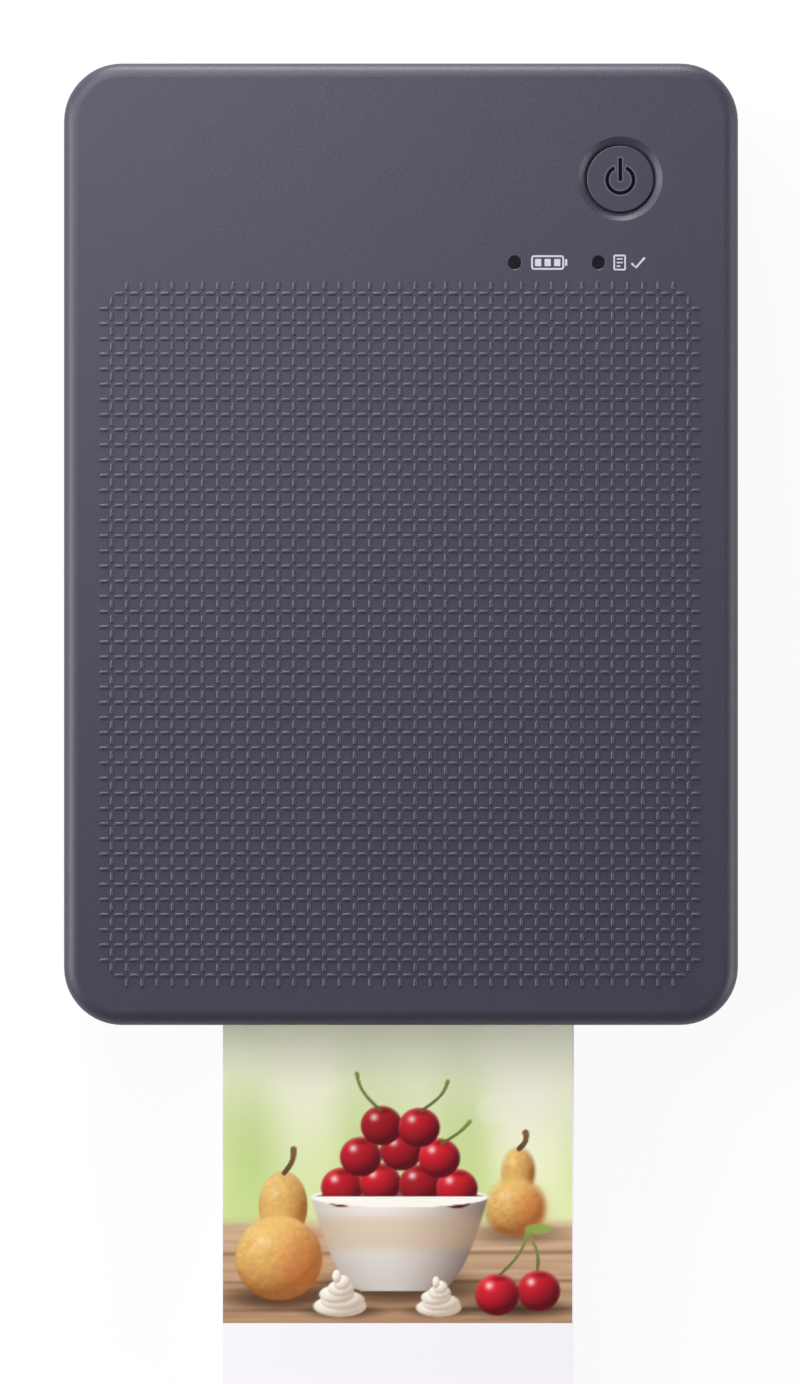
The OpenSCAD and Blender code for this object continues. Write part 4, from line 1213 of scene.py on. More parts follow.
@dataclass
class Screws:
    """Cross-headed screws of the lid, the casing, the boards and the chassis."""

    recess_share: float = 0.62
    arm_share: float = 0.17
    recess_floor: float = 0.35
    cutter_rise: float = 0.2
    taper: float = 0.4
    head_edge: float = 0.25
    head_sides: int = 32
    shank_sides: int = 16
    root: float = 0.05
    seed: int = 4

    def blank(self, name: str, size: ScrewSize) -> bpy.types.Object:
        """Makes one screw, seat at height 0, head up, with a cross cut into its head.

        Args:
            name: name of the part.
            size: its sizes.

        Returns:
            The part, to be repeated and then removed.
        """
        head_h, shank_l, tip = size.head_h, size.shank_l, size.shank_r * self.taper
        shape = bmesh.new()
        edge = min(self.head_edge, head_h * self.taper)
        add_prism(shape, disc_outline(size.head_r, steps=self.head_sides), (
            (0.0, 0.0), (head_h - edge, 0.0), (head_h - edge * 0.3, edge * 0.35),
            (head_h, edge)))
        add_prism(shape, disc_outline(size.shank_r, steps=self.shank_sides), (
            (-shank_l, tip), (-shank_l + tip, 0.0), (self.root, 0.0)))
        screw = make_object(name, mesh_of(shape))
        reach, arm = size.head_r * self.recess_share, size.head_r * self.arm_share
        plus = [(arm, arm), (arm, reach), (-arm, reach), (-arm, arm), (-reach, arm),
                (-reach, -arm), (-arm, -arm), (-arm, -reach), (arm, -reach), (arm, -arm),
                (reach, -arm), (reach, arm)]
        cutter_shape = bmesh.new()
        add_prism(cutter_shape, plus, ((head_h * self.recess_floor, arm * 0.3),
                                       (head_h + self.cutter_rise, 0.0)))
        cutter = make_object("cross cutter", mesh_of(cutter_shape))
        cut = screw.modifiers.new("cross", "BOOLEAN")
        cut.operation = "DIFFERENCE"
        cut.solver = "EXACT"
        cut.object = cutter
        cut_screw = settle(screw, name)
        bpy.data.objects.remove(cutter)
        return cut_screw

    def add_set(self, spots: PartsTree, name: str, size: ScrewSize, places: Sequence[Point],
                facing: HeadFacing, body: str, node: str, *replaced: str) -> None:
        """Makes one piece of equal screws.

        Args:
            spots: tree that repeats a part on points.
            name: name of the piece.
            size: sizes of the screws.
            places: seat of each screw.
            facing: side that the heads look to.
            body: CAD body that they ride on.
            node: CAD node handed on to keep, which does not use it.
            *replaced: CAD nodes that the piece stands for.
        """
        blank = self.blank(name + " blank", size)
        piece = spots.build(name, points_mesh(places), ZINC, Part=blank,
                            Turn=(facing.value, 0.0, 0.0), Spin=math.pi, Seed=self.seed)
        bpy.data.objects.remove(blank)
        keep(piece, body, node, *replaced)

    def build(self, spots: PartsTree) -> None:
        """Makes every set of screws.

        Args:
            spots: tree that repeats a part on points.
        """
        self.add_set(spots, "lid_panel_screws", ScrewSize(1.8, 0.45, 0.8, 4.0),
                     [(-44, 60, 25.8), (44, 64, 25.8), (-44, 0, 25.8), (44, 0, 25.8),
                      (-36, -64, 25.8), (36, -64, 25.8)],
                     HeadFacing.DOWN, "lid", "lid_screws", "lid_screws")
        self.add_set(spots, "case_cross_screws", ScrewSize(1.7, 1.2, 0.9, 11.0),
                     [(46.2, -63.9, 2.5), (-46.2, -63.9, 2.5), (43.4, 62.6, 2.5),
                      (-43.4, 62.6, 2.5)],
                     HeadFacing.DOWN, "base", "case_screws", "case_screws")
        self.add_set(spots, "board_cross_screws", ScrewSize(1.5, 0.8, 0.8, 6.1),
                     [(x, y, 10.1) for x in (-35, 35) for y in (8.5, 65.5)],
                     HeadFacing.UP, "base", "board_screws", "board_screws")
        self.add_set(spots, "chassis_cross_screws", ScrewSize(1.6, 1.0, 0.8, 2.3),
                     [(x, y, 3.8) for x in (-37, 37) for y in (-55, -30)],
                     HeadFacing.UP, "base", "board_screws")


@dataclass
class CardStock:
    """Stack of card-size sheets in the well."""

    sheets: int = 10
    rise: float = 0.25
    shift: float = 0.05
    corner: float = 0.8
    gap: float = 0.01
    edge: float = 0.05
    edge_inset: float = 0.03
    seed: int = 11

    def build(self) -> None:
        """Piles the sheets where the solid stack is."""
        low, high = casing_box("paper_stack")
        shape = bmesh.new()
        outline = round_outline(high.x - low.x - 2 * self.shift, high.y - low.y - 2 * self.shift,
                                self.corner, ((low.x + high.x) / 2, (low.y + high.y) / 2))
        top = low.z + self.rise
        add_prism(shape, outline, ((low.z + self.gap, self.edge_inset), (low.z + self.edge, 0.0),
                                   (top - self.edge, 0.0), (top - self.gap, self.edge_inset)))
        pile = pile_tree().build("card_stock", mesh_of(shape), STOCK, Count=self.sheets,
                                 Rise=self.rise * MM, Shift=self.shift * MM, Seed=self.seed)
        keep(pile, "base", "paper_stack", "paper_stack")


@dataclass
class StillLife:
    """Picture of fruit on a table before a blurred garden, drawn from plain shapes.

    Places are millimetres from the picture's lower left corner, colours run from 0 to 255.
    """

    width: float
    height: float
    horizon: float = 15.5
    seed: int = 23
    light: Point = (-0.42, 0.62, 0.66)
    stalk_steps: int = 46
    gold: Colour = (238, 192, 112)
    toast: Colour = (150, 92, 42)
    cream: Colour = (253, 249, 240)
    bowl_at: Spot = (27.2, 19.4)
    bowl_half: float = 13.6
    heap: tuple[Spot, ...] = ((-8.9, 1.5), (-3.0, 2.2), (3.1, 2.0), (8.8, 1.3), (-6.0, 6.2),
                              (0.2, 7.1), (6.1, 6.0), (-2.8, 11.0), (3.0, 10.7))
    stalks: tuple[tuple[Spot, Spot, float], ...] = (
        ((24.2, 32.8), (20.6, 38.4), -0.8), ((30.4, 32.6), (34.6, 37.2), 0.9),
        ((33.6, 27.6), (38.0, 31.0), 0.5))

    def __post_init__(self) -> None:
        """Prepares the random source."""
        self.random = np.random.default_rng(self.seed)

    @staticmethod
    def ease(low: float, high: float, value: np.ndarray) -> np.ndarray:
        """Smooth step from 0 at low to 1 at high."""
        t = np.clip((value - low) / (high - low), 0.0, 1.0)
        return t * t * (3 - 2 * t)

    @staticmethod
    def blend(low: np.ndarray | Colour, high: np.ndarray | Colour, share: np.ndarray
              ) -> np.ndarray:
        """Colours of the points between two colours, by a share of 0 to 1 for each point."""
        return low + (np.asarray(high, float) - low) * share[:, None]

    def clouds(self, size: Spot) -> np.ndarray:
        """Draws a smooth random field.

        Args:
            size: width and height of its patches.

        Returns:
            A value of 0 to 1 for each point.
        """
        columns = int(self.width / size[0]) + 3
        rows = int(self.height / size[1]) + 3
        grid = self.random.random((columns, rows))
        gx, gy = self.u / size[0], self.v / size[1]
        ix, iy = np.floor(gx).astype(int), np.floor(gy).astype(int)
        fx, fy = gx - ix, gy - iy
        fx, fy = fx * fx * (3 - 2 * fx), fy * fy * (3 - 2 * fy)
        low = grid[ix, iy] * (1 - fx) + grid[ix + 1, iy] * fx
        high = grid[ix, iy + 1] * (1 - fx) + grid[ix + 1, iy + 1] * fx
        return low * (1 - fy) + high * fy

    def lay(self, colour: np.ndarray | Colour, cover: np.ndarray) -> None:
        """Lays a colour over the picture where cover is above 0."""
        self.canvas = self.blend(self.canvas, colour, cover)

    def spot(self, cx: float, cy: float, rx: float, ry: float, soft: float) -> np.ndarray:
        """Cover of a soft ellipse."""
        reach = np.hypot((self.u - cx) / rx, (self.v - cy) / ry)
        return 1 - self.ease(1 - soft, 1 + soft, reach)

    def garden(self) -> None:
        """Blurred yellow-green garden with a bright gap between the trees."""
        blur = self.clouds((9.0, 30.0)) * 0.6 + self.clouds((4.5, 12.0)) * 0.4
        self.canvas = self.blend((196, 216, 140), (242, 244, 194), blur)
        height = self.ease(self.horizon, self.height, self.v)
        self.lay((246, 248, 206), 0.55 * height)
        for cx, rx, strength in ((3.5, 5.0, 0.5), (21.5, 4.0, 0.4), (37.0, 4.5, 0.45)):
            self.lay((176, 204, 116), strength * self.spot(cx, 28, rx, 40, 0.75))
        self.lay((254, 252, 238), 0.95 * self.spot(47.0, 46, 6.5, 20, 0.7))
        self.lay((252, 249, 224), 0.8 * self.spot(12.5, 48, 5.5, 22, 0.8))
        for cx, cy, r in ((41.5, 33, 2.4), (50.0, 40, 3.0), (4.5, 41, 2.8), (16.0, 37, 2.2),
                          (11.5, 60, 3.4), (30.0, 62, 3.0)):
            self.lay((250, 251, 220), 0.4 * self.spot(cx, cy, r, r, 0.25))
        # Lightens the picture towards its top. Part of this is a pale sky in the print, and part
        # is painted light that offsets the shade the casing casts on the sheet by the slot.
        self.lay((255, 255, 232), 0.88 * self.ease(self.horizon + 9, self.horizon + 30, self.v))

    def table(self) -> None:
        """Wooden table with long grain and the joints between its boards."""
        wood = self.blend((203, 170, 138), (160, 122, 92),
                          0.7 * (1 - self.v / self.horizon).clip(0, 1))
        grain = (self.clouds((14.0, 0.5)) - 0.5) * 20 + (self.clouds((5.0, 0.3)) - 0.5) * 12
        wood = wood + grain[:, None]
        edge = 1 - self.ease(self.horizon - 1.1, self.horizon + 1.1, self.v)
        self.lay(wood, edge)
        for level, thick in ((1.9, 0.22), (6.2, 0.2), (10.6, 0.25)):
            joint = 1 - self.ease(0.0, thick * 2.2, np.abs(self.v - level - 0.006 * self.u))
            self.lay((120, 86, 62), 0.55 * joint * edge)

    def shadow(self, cx: float, cy: float, rx: float, ry: float, depth: float = 0.5) -> None:
        """Soft contact shadow on the table."""
        self.canvas *= 1 - depth * (self.spot(cx, cy, rx, ry, 0.65)
                                    * np.array([[0.82], [0.92], [1.0]])).T

    def ball(self, cx: float, cy: float, rx: float, ry: float, colour: Colour, dark: Colour,
             soft: float = 0.05, gloss: float = 0.6, skin: float = 0.0) -> None:
        """Lit round body with a highlight.

        Args:
            cx: its middle across.
            cy: its middle upward.
            rx: half width.
            ry: half height.
            colour: colour in the light.
            dark: colour in its own shade.
            soft: blur of the outline, as a share of the radius.
            gloss: strength of the highlight.
            skin: strength of random unevenness on its skin.
        """
        x, y = (self.u - cx) / rx, (self.v - cy) / ry
        reach = np.hypot(x, y)
        z = np.sqrt(np.clip(1 - reach ** 2, 0, 1))
        lit = np.clip(x * self.light[0] + y * self.light[1] + z * self.light[2], 0, 1)
        base = self.blend(dark, colour, lit ** 0.8)
        if skin > 0:
            base = base * (1 + skin * (self.clouds((0.55, 0.5)) - 0.5))[:, None]
        back = self.ease(0.75, 1.0, reach) * np.clip(y * 0.7 + 0.3, 0, 1) * 0.3
        base = self.blend(base, (236, 232, 190), back)
        shine = gloss * np.exp(-((x + 0.36) ** 2 + (y - 0.42) ** 2) / 0.035)
        base = self.blend(base, (255, 250, 246), np.clip(shine, 0, 1))
        self.lay(base, 1 - self.ease(1 - soft, 1 + soft, reach))

    def stem(self, start: Spot, end: Spot, bend: float,
             colour: Colour = (122, 128, 62), thick: float = 0.22) -> None:
        """Thin curved stalk.

        Args:
            start: its lower end.
            end: its upper end.
            bend: sway to the right at its middle.
            colour: its colour.
            thick: half of its width.
        """
        for t in np.linspace(0, 1, self.stalk_steps):
            sway = bend * math.sin(math.pi * t)
            cx = start[0] + (end[0] - start[0]) * t + sway
            cy = start[1] + (end[1] - start[1]) * t
            size = thick * (1 + 0.35 * t ** 6)
            self.lay(shade(colour, 0.8 + 0.35 * t), self.spot(cx, cy, size, size, 0.4))

    def bowl(self, cx: float, rim: float, half: float, foot: float) -> None:
        """Cream bowl: its wall narrows to a foot, under an open rim.

        Args:
            cx: its middle across.
            rim: height of its rim.
            half: half width of its rim.
            foot: height of its foot.
        """
        share = np.clip((self.v - foot) / (rim - foot), 0, 1)
        reach = half * (0.42 + 0.58 * np.sqrt(share))
        side = (self.u - cx) / reach
        inside = (1 - self.ease(0.98, 1.02, np.abs(side))) * (self.v > foot) * (self.v < rim)
        lit = np.clip(0.9 - 0.5 * (side + 0.3) ** 2, 0, 1) * (0.72 + 0.28 * share)
        glaze = self.ease(0.25, 0.1, np.abs(share - 0.62)) * 0.35
        wall = self.blend(self.blend((120, 104, 96), (250, 246, 238), lit), (206, 158, 110), glaze)
        self.lay(wall, inside)
        self.lay((252, 248, 240), self.spot(cx, rim, half, 1.5, 0.04))
        self.lay((128, 84, 78), self.spot(cx, rim - 0.1, half - 0.6, 1.15, 0.06))

    def meringue(self, cx: float, cy: float, size: float, rings: int = 6) -> None:
        """Piped cream kiss: rings that narrow to a tip.

        Args:
            cx: its middle across.
            cy: its foot.
            size: half of its width.
            rings: number of rings.
        """
        for k in range(rings):
            share = k / (rings - 1)
            self.ball(cx + 0.12 * size * math.sin(2.2 * k), cy + size * (0.05 + 0.36 * k * 0.62),
                      size * (1 - 0.84 * share), size * (0.4 - 0.14 * share), self.cream,
                      (196, 176, 160), soft=0.06, gloss=0.12, skin=0.03)

    def cherry(self, cx: float, cy: float, size: float, tint: float = 1.0) -> None:
        """One glossy cherry with the dimple of its stalk.

        Args:
            cx: its middle across.
            cy: its middle upward.
            size: its radius.
            tint: factor on its red.
        """
        self.ball(cx, cy, size, size * 0.95, shade((206, 30, 44), tint), (92, 8, 22), 0.05,
                  0.78, 0.05)
        self.lay((96, 12, 24), 0.45 * self.spot(cx + 0.1 * size, cy + 0.72 * size,
                                                0.34 * size, 0.12 * size, 0.6))

    def pear(self, cx: float, cy: float, size: float, soft: float = 0.04) -> None:
        """Golden pear, standing: neck, body, the blend between them, and its stalk.

        Args:
            cx: middle of its body across.
            cy: middle of its body upward.
            size: radius of its body.
            soft: blur of its outline.
        """
        self.ball(cx + 0.1 * size, cy + 1.2 * size, 0.56 * size, 0.8 * size, self.gold,
                  self.toast, soft, 0.2, 0.1)
        self.ball(cx, cy, size, 0.97 * size, self.gold, self.toast, soft, 0.3, 0.12)
        self.lay(self.gold, 0.75 * self.spot(cx - 0.05 * size, cy + 0.78 * size,
                                             0.42 * size, 0.34 * size, 0.9))
        self.lay((214, 110, 60), 0.35 * self.spot(cx + 0.5 * size, cy - 0.1 * size,
                                                  0.47 * size, 0.65 * size, 0.9))
        self.stem((cx + 0.12 * size, cy + 1.95 * size), (cx + 0.34 * size, cy + 2.5 * size),
                  0.5, (112, 84, 48), 0.34)

    def fruit(self) -> None:
        """Sets the fruit, the bowl and the meringues on the table, from back to front."""
        self.shadow(45.6, 13.6, 6.0, 1.3, 0.35)
        self.pear(45.0, 17.8, 4.6, 0.16)
        cx, rim = self.bowl_at
        self.shadow(cx, 5.4, 13.0, 2.2, 0.6)
        self.bowl(cx, rim, self.bowl_half, 5.0)
        for k, (dx, dy) in enumerate(self.heap):
            self.cherry(cx + dx, rim + dy, 3.2, 1 + 0.12 * math.sin(2.4 * k))
        for start, end, bend in self.stalks:
            self.stem(start, end, bend)
        self.lay((251, 247, 239), (self.v < rim) * self.spot(cx, rim, self.bowl_half, 1.6, 0.04))
        self.shadow(9.0, 4.0, 7.8, 1.7, 0.6)
        self.pear(8.6, 10.0, 6.7)
        self.shadow(45.2, 2.2, 7.4, 1.2, 0.6)
        self.cherry(48.6, 5.0, 3.3)
        self.cherry(42.2, 4.4, 3.4, 1.08)
        self.stem((42.6, 7.4), (46.8, 14.0), 0.9)
        self.stem((48.4, 8.1), (46.8, 14.0), 0.7)
        self.lay((142, 168, 78), 0.9 * self.spot(48.6, 14.5, 2.1, 0.8, 0.2))
        self.shadow(33.4, 1.8, 4.4, 0.8, 0.5)
        self.meringue(33.2, 2.2, 3.5)
        self.shadow(18.4, 1.8, 5.0, 0.9, 0.55)
        self.meringue(18.0, 2.4, 4.1)

    def paint(self, u: np.ndarray, v: np.ndarray) -> np.ndarray:
        """Colour of the picture at points.

        Args:
            u: millimetres from its left edge.
            v: millimetres from its lower edge.

        Returns:
            One linear RGBA row for each point.
        """
        self.u, self.v = u, v
        self.garden()
        self.table()
        self.fruit()
        return np.concatenate([decode(self.canvas), np.ones((len(u), 1))], axis=1)


@dataclass
class Print:
    """Photo sheet that stands half out of the slot."""

    picture_low: float = -119.5
    picture_high: float = -50.4
    right_edge: float = 0.26
    fine: float = 0.2
    coarse: float = 0.9
    slot_face: float = -72.9
    line: float = 0.02

    def lines(self) -> tuple[np.ndarray, np.ndarray]:
        """Grid lines of the sheet, dense where the picture shows.

        Returns:
            The places across and along.
        """
        low, high = casing_box("photo_print")
        split = high.x - self.right_edge
        xs = np.concatenate([np.linspace(low.x, split, int((split - low.x) / self.fine)),
                             [split + self.line, high.x]])
        seen = int((self.slot_face - self.picture_low) / self.fine)
        hidden = int((self.picture_high - self.slot_face) / self.coarse)
        ys = np.concatenate([[low.y, self.picture_low - self.line],
                             np.linspace(self.picture_low, self.slot_face, seen),
                             np.linspace(self.slot_face, self.picture_high, hidden)[1:],
                             [self.picture_high + self.line, high.y]])
        return xs, ys

    @staticmethod
    def slab(xs: np.ndarray, ys: np.ndarray, low: float, high: float) -> bpy.types.Mesh:
        """Makes a closed slab whose top face is a grid.

        Args:
            xs: grid lines across.
            ys: grid lines along.
            low: height of its underside.
            high: height of its top.

        Returns:
            The mesh; its first vertices are the grid's, row by row.
        """
        count = len(xs) * len(ys)
        gx, gy = (a.ravel() for a in np.meshgrid(xs, ys))
        top = np.stack([gx, gy, np.full(count, high)], axis=1)
        index = np.arange(count).reshape(len(ys), len(xs))
        quads = np.stack([index[:-1, :-1], index[:-1, 1:], index[1:, 1:], index[1:, :-1]],
                         axis=-1).reshape(-1, 4)
        ring = np.concatenate([index[0, :], index[1:, -1], index[-1, -2::-1], index[-2:0:-1, 0]])
        under = top[ring].copy()
        under[:, 2] = low
        below = (count + np.arange(len(ring))).tolist()
        walls = [(int(ring[i - 1]), below[i - 1], below[i], int(ring[i]))
                 for i in range(len(ring))]
        mesh = bpy.data.meshes.new("photo_sheet")
        mesh.from_pydata((np.concatenate([top, under]) * MM).tolist(), [],
                         quads.tolist() + walls + [below[::-1]])
        return mesh

    def build(self) -> None:
        """Makes the sheet as one closed slab with the picture in its top face."""
        low, high = casing_box("photo_print")
        xs, ys = self.lines()
        mesh = self.slab(xs, ys, low.z, high.z)
        gx, gy = (a.ravel() for a in np.meshgrid(xs, ys))
        edge = xs[-3]
        picture = StillLife(edge - low.x, self.picture_high - self.picture_low)
        colours = np.tile(np.array(linear(PHOTO_PAPER.colour)), (len(mesh.vertices), 1))
        inside = ((gx <= edge + SLACK) & (gy >= self.picture_low - SLACK)
                  & (gy <= self.picture_high + SLACK))
        colours[:len(gx)][inside] = picture.paint(gx[inside] - low.x,
                                                  gy[inside] - self.picture_low)
        layer = mesh.color_attributes.new(PHOTO_PAPER.attribute, "FLOAT_COLOR", "POINT")
        layer.data.foreach_set("color", colours.astype(np.float32).ravel())
        keep(make_object("photo_sheet", mesh, PHOTO_PAPER), "print", "photo_print", "photo_print")


@dataclass
class Drive:
    """Chassis, rollers, print head, ribbon and gear train."""

    roller_half: float = 37.5
    wheel_from: float = 41.5
    wheel_to: float = 44.5
    catch_coil: Coil = Coil(0.75, 0.18, 8.0)
    catch_travel: float = 3.5
    head_coil: Coil = Coil(1.3, 0.22, 4.0)

    def shafts(self) -> dict[str, Finish]:
        """Lists the finishes of the turned parts, banded along their shafts.

        Returns:
            The finish of each node.
        """
        wheel = (self.wheel_from, self.wheel_to, ACETAL)

        def shaft(name: str, *bands: tuple[float, float, Finish]) -> Banded:
            """Steel shaft with bands."""
            return Banded(name, STEEL.colour, STEEL.roughness, STEEL.metallic, bands=bands)

        return {
            "capstan_roller": shaft("capstan bands", wheel),
            "platen_roller": shaft("platen bands", (-1, self.roller_half + 0.1, TYRE), wheel),
            "eject_rollers": shaft("eject bands", (-1, 7.01, TYRE), (16.99, 31.01, TYRE), wheel),
            "pinch_roller": shaft("pinch bands", (-1, 8.01, TYRE), (15.99, 32.01, TYRE)),
            "eject_idlers": shaft("idler bands", (-1, 3.01, ACETAL), (16.99, 23.01, ACETAL)),
            "pickup_rollers": shaft("pickup bands", (8.99, 19.01, TYRE)),
            "motor_pinion": shaft("pinion bands", (46.39, 48.41, BRASS)),
        }

    def build(self, coils: PartsTree) -> None:
        """Dresses the drive and winds its two springs.

        Args:
            coils: tree that winds coils.
        """
        dress({
            "chassis_left": PLATED, "chassis_right": PLATED, "shaft_bushes": BRASS,
            "thermal_head": CERAMIC, "head_heatsink": EXTRUDED, "head_pivot_pin": STEEL,
            "ribbon_cassette": SHELL, "supply_spool": ACETAL, "takeup_spool": ACETAL,
            "supply_film": YELLOW_FILM, "takeup_film": BLUE_FILM, "dye_film": YELLOW_FILM,
            "supply_hub": ACETAL, "takeup_hub": ACETAL, "stepper_motor": ZINC,
            "compound_gear": ACETAL, "pickup_gear": ACETAL, "transfer_gear": ACETAL,
            "front_idler_gear": ACETAL, "rear_idler_gear": ACETAL, "takeup_gear": ACETAL,
            "gear_studs": STEEL, **self.shafts()})
        self.add_catch_spring(coils)
        self.add_head_spring(coils)

    def add_catch_spring(self, coils: PartsTree) -> None:
        """Winds the spring that the lid's catch presses together.

        Args:
            coils: tree that winds coils.
        """
        low, high = casing_box("latch_spring")
        seat = ((low.x + high.x) / 2, high.y, (low.z + high.z) / 2)
        length = high.y - low.y
        spring = self.catch_coil.wind(coils, "catch_spring", [seat], length,
                                      (math.pi / 2, 0.0, 0.0))
        keep(spring, "base", "latch_spring", "latch_spring")
        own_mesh(spring)

    def add_head_spring(self, coils: PartsTree) -> None:
        """Winds the spring about the pin of the print head.

        Args:
            coils: tree that winds coils.
        """
        low, high = casing_box("head_torsion_spring")
        seat = (low.x, (low.y + high.y) / 2, (low.z + high.z) / 2)
        spring = self.head_coil.wind(coils, "head_spring", [seat], high.x - low.x,
                                     (0.0, math.pi / 2, 0.0))
        keep(spring, "base", "head_torsion_spring", "head_torsion_spring")


@dataclass
class Electrics:
    """Boards, chips, battery and the charging socket."""

    chip_legs: tuple[tuple[float, float, float, float, int], ...] = (
        (-8, 4, 20, 32, 9), (12, 20, 24, 30, 6), (-26, -18, 26, 31, 6))
    leg_pitch: float = 0.8
    leg_reach: float = 0.35
    leg_size: Point = (0.35, 0.8, 0.3)
    board_top: float = 10.1
    passive_size: Point = (1.0, 0.5, 0.4)
    passive_groups: tuple[Spot, ...] = ((-32, 12), (-4, 38), (20, 40), (26, 14))
    passive_pitch: Spot = (1.7, 1.4)
    group_side: int = 3
    socket: Spot = (-22.0, 11.73)
    contacts: int = 8
    contact_pitch: float = 0.72
    contact_size: Point = (0.32, 3.6, 0.06)
    contact_y: float = 69.2
    contact_lift: float = 0.34
    round_off: float = 0.08

    def repeat(self, spots: PartsTree, name: str, size: Point, places: Sequence[Point],
               finish: Finish, slot: str) -> None:
        """Repeats a small block with bevelled rims and lets it ride on the base.

        Args:
            spots: tree that repeats a part on points.
            name: name of the piece.
            size: sizes of one block.
            places: middle of each block's foot.
            finish: finish of the blocks.
            slot: CAD node handed on to keep, which does not use it.
        """
        shape = bmesh.new()
        add_prism(shape, round_outline(size[0], size[1], min(size[:2]) * 0.2, steps=1),
                  ((0.0, 0.0), (size[2] - self.round_off, 0.0), (size[2], self.round_off)))
        part = make_object(name + " part", mesh_of(shape))
        piece = spots.build(name, points_mesh(places), finish, Part=part)
        bpy.data.objects.remove(part)
        keep(piece, "base", slot)

    def build(self, spots: PartsTree) -> None:
        """Dresses the electrics and adds legs, small parts and contacts.

        Args:
            spots: tree that repeats a part on points.
        """
        dress({"main_board": RESIST, "switch_board": RESIST, "board_chips": EPOXY,
               "battery_pack": SLEEVE, "usb_socket": TIN, "tact_switch": EPOXY,
               "indicator_leds": CERAMIC})
        legs = [(x, y, self.board_top) for x0, x1, y0, y1, count in self.chip_legs
                for x in self.row((x0 + x1) / 2, count, self.leg_pitch)
                for y in (y0 - self.leg_reach, y1 + self.leg_reach)]
        self.repeat(spots, "chip_legs", self.leg_size, legs, TIN, "board_chips")
        passives = [(x + self.passive_pitch[0] * column, y + self.passive_pitch[1] * row,
                     self.board_top) for x, y in self.passive_groups
                    for row in range(self.group_side) for column in range(self.group_side)]
        self.repeat(spots, "board_passives", self.passive_size, passives, CERAMIC, "board_chips")
        middle, height = self.socket
        pins = [(x, self.contact_y, height + self.contact_lift)
                for x in self.row(middle, self.contacts, self.contact_pitch)]
        self.repeat(spots, "socket_contacts", self.contact_size, pins, GOLD, "usb_socket")

    @staticmethod
    def row(middle: float, count: int, pitch: float) -> list[float]:
        """Evenly spaced places about a middle."""
        return [middle + (k - (count - 1) / 2) * pitch for k in range(count)]


@dataclass(frozen=True)
class Lamp:
    """Plain square softbox; places are metres from the casing's middle."""

    name: str
    place: Point
    size: float
    watts: float
    target: Point = (0.0, -0.02, 0.03)


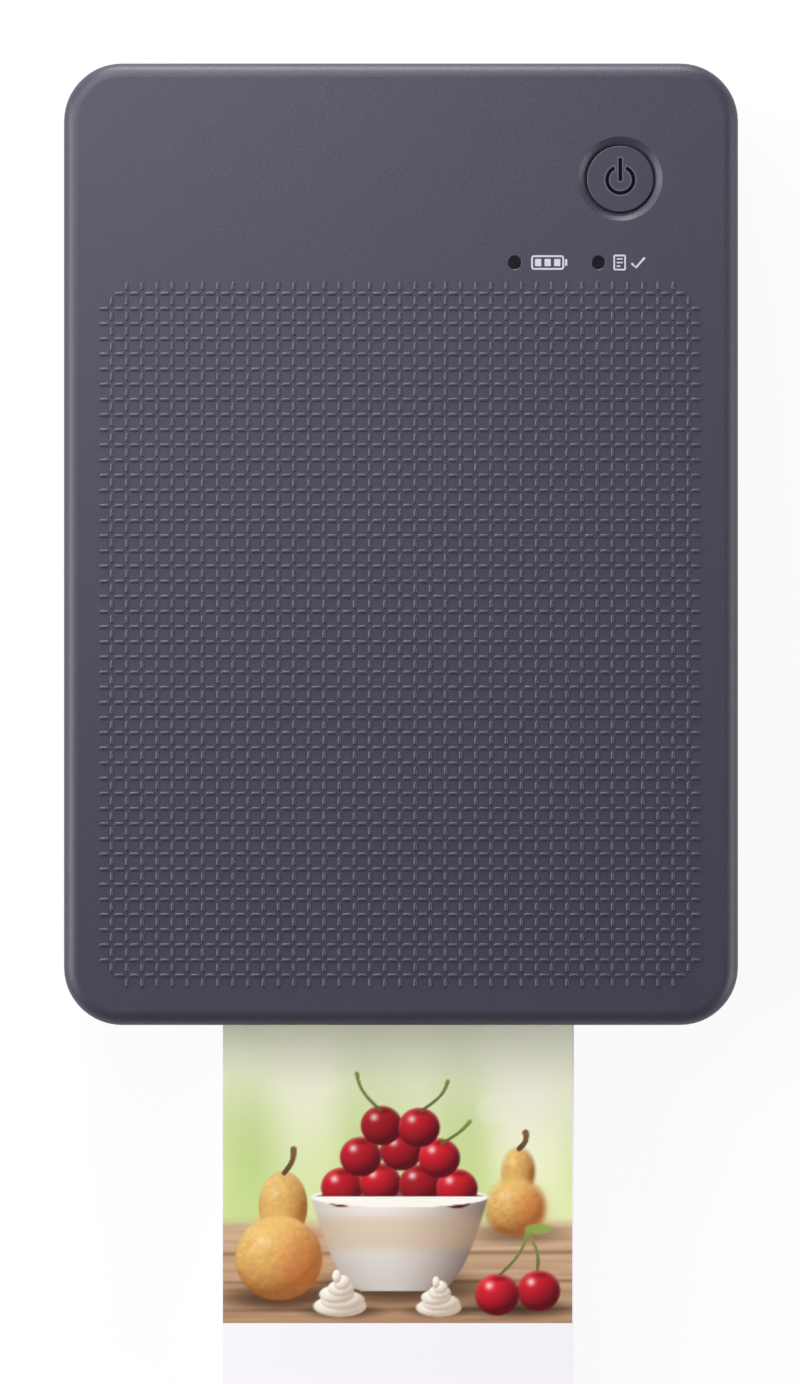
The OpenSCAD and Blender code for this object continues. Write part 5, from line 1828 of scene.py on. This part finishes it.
@dataclass
class Studio:
    """Floor, plain soft lamps, world and the camera that looks straight down.

    The floor's reach, the height of its wall and the camera's clip distances are in metres.
    """

    image_height: float = 1384.0
    scale_at_top: float = 6.607
    top: float = 33.1
    camera_drop: float = 1200.0
    aim: Spot = (-0.15, -22.4)
    sensor: float = 24.0
    clip: Spot = (0.01, 50.0)
    floor_reach: float = 5.0
    wall_height: float = 1.2
    floor_sides: int = 96
    floor_gap: float = 0.05
    floor_colour: Colour = (250, 249, 250)
    shadow_share: float = 0.08
    ambient: float = 0.08
    lamps: tuple[Lamp, ...] = (
        Lamp("key softbox", (-0.14, 0.11, 0.42), 0.2, 0.4),
        Lamp("near softbox", (-0.07, 0.2, 0.22), 0.2, 0.56),
        Lamp("left softbox", (-0.95, 0.0, 0.58), 0.7, 12.6),
        Lamp("right softbox", (1.08, -0.25, 0.44), 0.7, 8.8),
        Lamp("rear softbox", (-0.1, 1.17, 0.24), 0.45, 12.8))

    def add_camera(self) -> None:
        """Sets the camera over the casing so that the top face has its scale in the image."""
        data = bpy.data.cameras.new("camera")
        data.sensor_fit = "VERTICAL"
        data.sensor_height = self.sensor
        data.lens = self.scale_at_top * self.camera_drop / self.image_height * self.sensor
        data.clip_start, data.clip_end = self.clip
        camera = bpy.data.objects.new("camera", data)
        camera.location = Vector((self.aim[0], self.aim[1] + CASING_Y,
                                  self.top + self.camera_drop)) * MM
        bpy.context.scene.collection.objects.link(camera)
        bpy.context.scene.camera = camera

    def floor_material(self) -> bpy.types.Material:
        """Makes the pale floor's material.

        White to the eye, glass and metal but for the share of it that takes the shadow, plain
        to all other rays, and clear from below.

        Returns:
            The material.
        """
        material = bpy.data.materials.new("pale floor")
        material.use_nodes = True
        sheet = NodeSheet(material.node_tree)
        diffuse = sheet.add("ShaderNodeBsdfDiffuse", {"Color": linear(self.floor_colour)})
        white = sheet.add("ShaderNodeEmission", {"Color": WHITE, "Strength": 1.0})
        path = sheet.add("ShaderNodeLightPath").outputs
        seen = path["Is Camera Ray"]
        for name in ("Is Glossy Ray", "Is Transmission Ray"):
            seen = sheet.math("MAXIMUM", seen, path[name])
        share = sheet.math("MULTIPLY", seen, 1 - self.shadow_share)
        mix = sheet.add("ShaderNodeMixShader", {0: share, 1: diffuse.outputs[0],
                                                2: white.outputs[0]})
        clear = sheet.add("ShaderNodeBsdfTransparent")
        under = sheet.add("ShaderNodeNewGeometry").outputs["Backfacing"]
        sided = sheet.add("ShaderNodeMixShader", {0: under, 1: mix.outputs[0],
                                                  2: clear.outputs[0]})
        sheet.add("ShaderNodeOutputMaterial", {"Surface": sided.outputs[0]})
        return material

    def add_backdrop(self) -> None:
        """Lays a round floor with a low wall."""
        shape = bmesh.new()
        outline = disc_outline(self.floor_reach / MM, (0.0, CASING_Y), self.floor_sides)
        foot = [shape.verts.new((*p, -self.floor_gap)) for p in outline]
        crown = [shape.verts.new((*p, self.wall_height / MM)) for p in outline]
        shape.faces.new(foot)
        for i, start in enumerate(foot):
            shape.faces.new((foot[i - 1], crown[i - 1], crown[i], start))
        floor = make_object("floor", mesh_of(shape, outward=False))
        floor.data.materials.append(self.floor_material())

    def add_world(self) -> None:
        """Makes a dim even sky."""
        world = bpy.data.worlds.new("studio")
        bpy.context.scene.world = world
        world.use_nodes = True
        sheet = NodeSheet(world.node_tree)
        sky = sheet.add("ShaderNodeBackground", {"Color": WHITE, "Strength": self.ambient})
        sheet.add("ShaderNodeOutputWorld", {"Surface": sky.outputs[0]})

    def add_lamp(self, lamp: Lamp) -> None:
        """Adds one softbox, turned to its target and hidden from the camera.

        Args:
            lamp: its name, place, size and power.
        """
        data = bpy.data.lights.new(lamp.name, "AREA")
        data.shape = "SQUARE"
        data.size = lamp.size
        data.energy = lamp.watts
        place, target = (Vector(p) + Vector((0, CASING_Y * MM, 0))
                         for p in (lamp.place, lamp.target))
        holder = bpy.data.objects.new(lamp.name, data)
        holder.location = place
        holder.rotation_euler = (target - place).to_track_quat("-Z", "Y").to_euler()
        holder.visible_camera = False
        bpy.context.scene.collection.objects.link(holder)

    def build(self) -> None:
        """Sets up everything that isn't part of the object, in plain colours."""
        bpy.context.scene.view_settings.view_transform = "Standard"
        self.add_camera()
        self.add_backdrop()
        self.add_world()
        for lamp in self.lamps:
            self.add_lamp(lamp)


def main() -> None:
    """Builds the sub-assemblies in order."""
    logging.basicConfig(level=logging.INFO, format="%(message)s")
    Studio().build()
    spots, coils = spot_tree(), coil_tree()
    Cover().build()
    PowerKey().build()
    LowerCase().build()
    PressurePlate().build(coils)
    Screws().build(spots)
    CardStock().build()
    Print().build()
    Drive().build(coils)
    Electrics().build(spots)


if __name__ == "__main__":
    main()
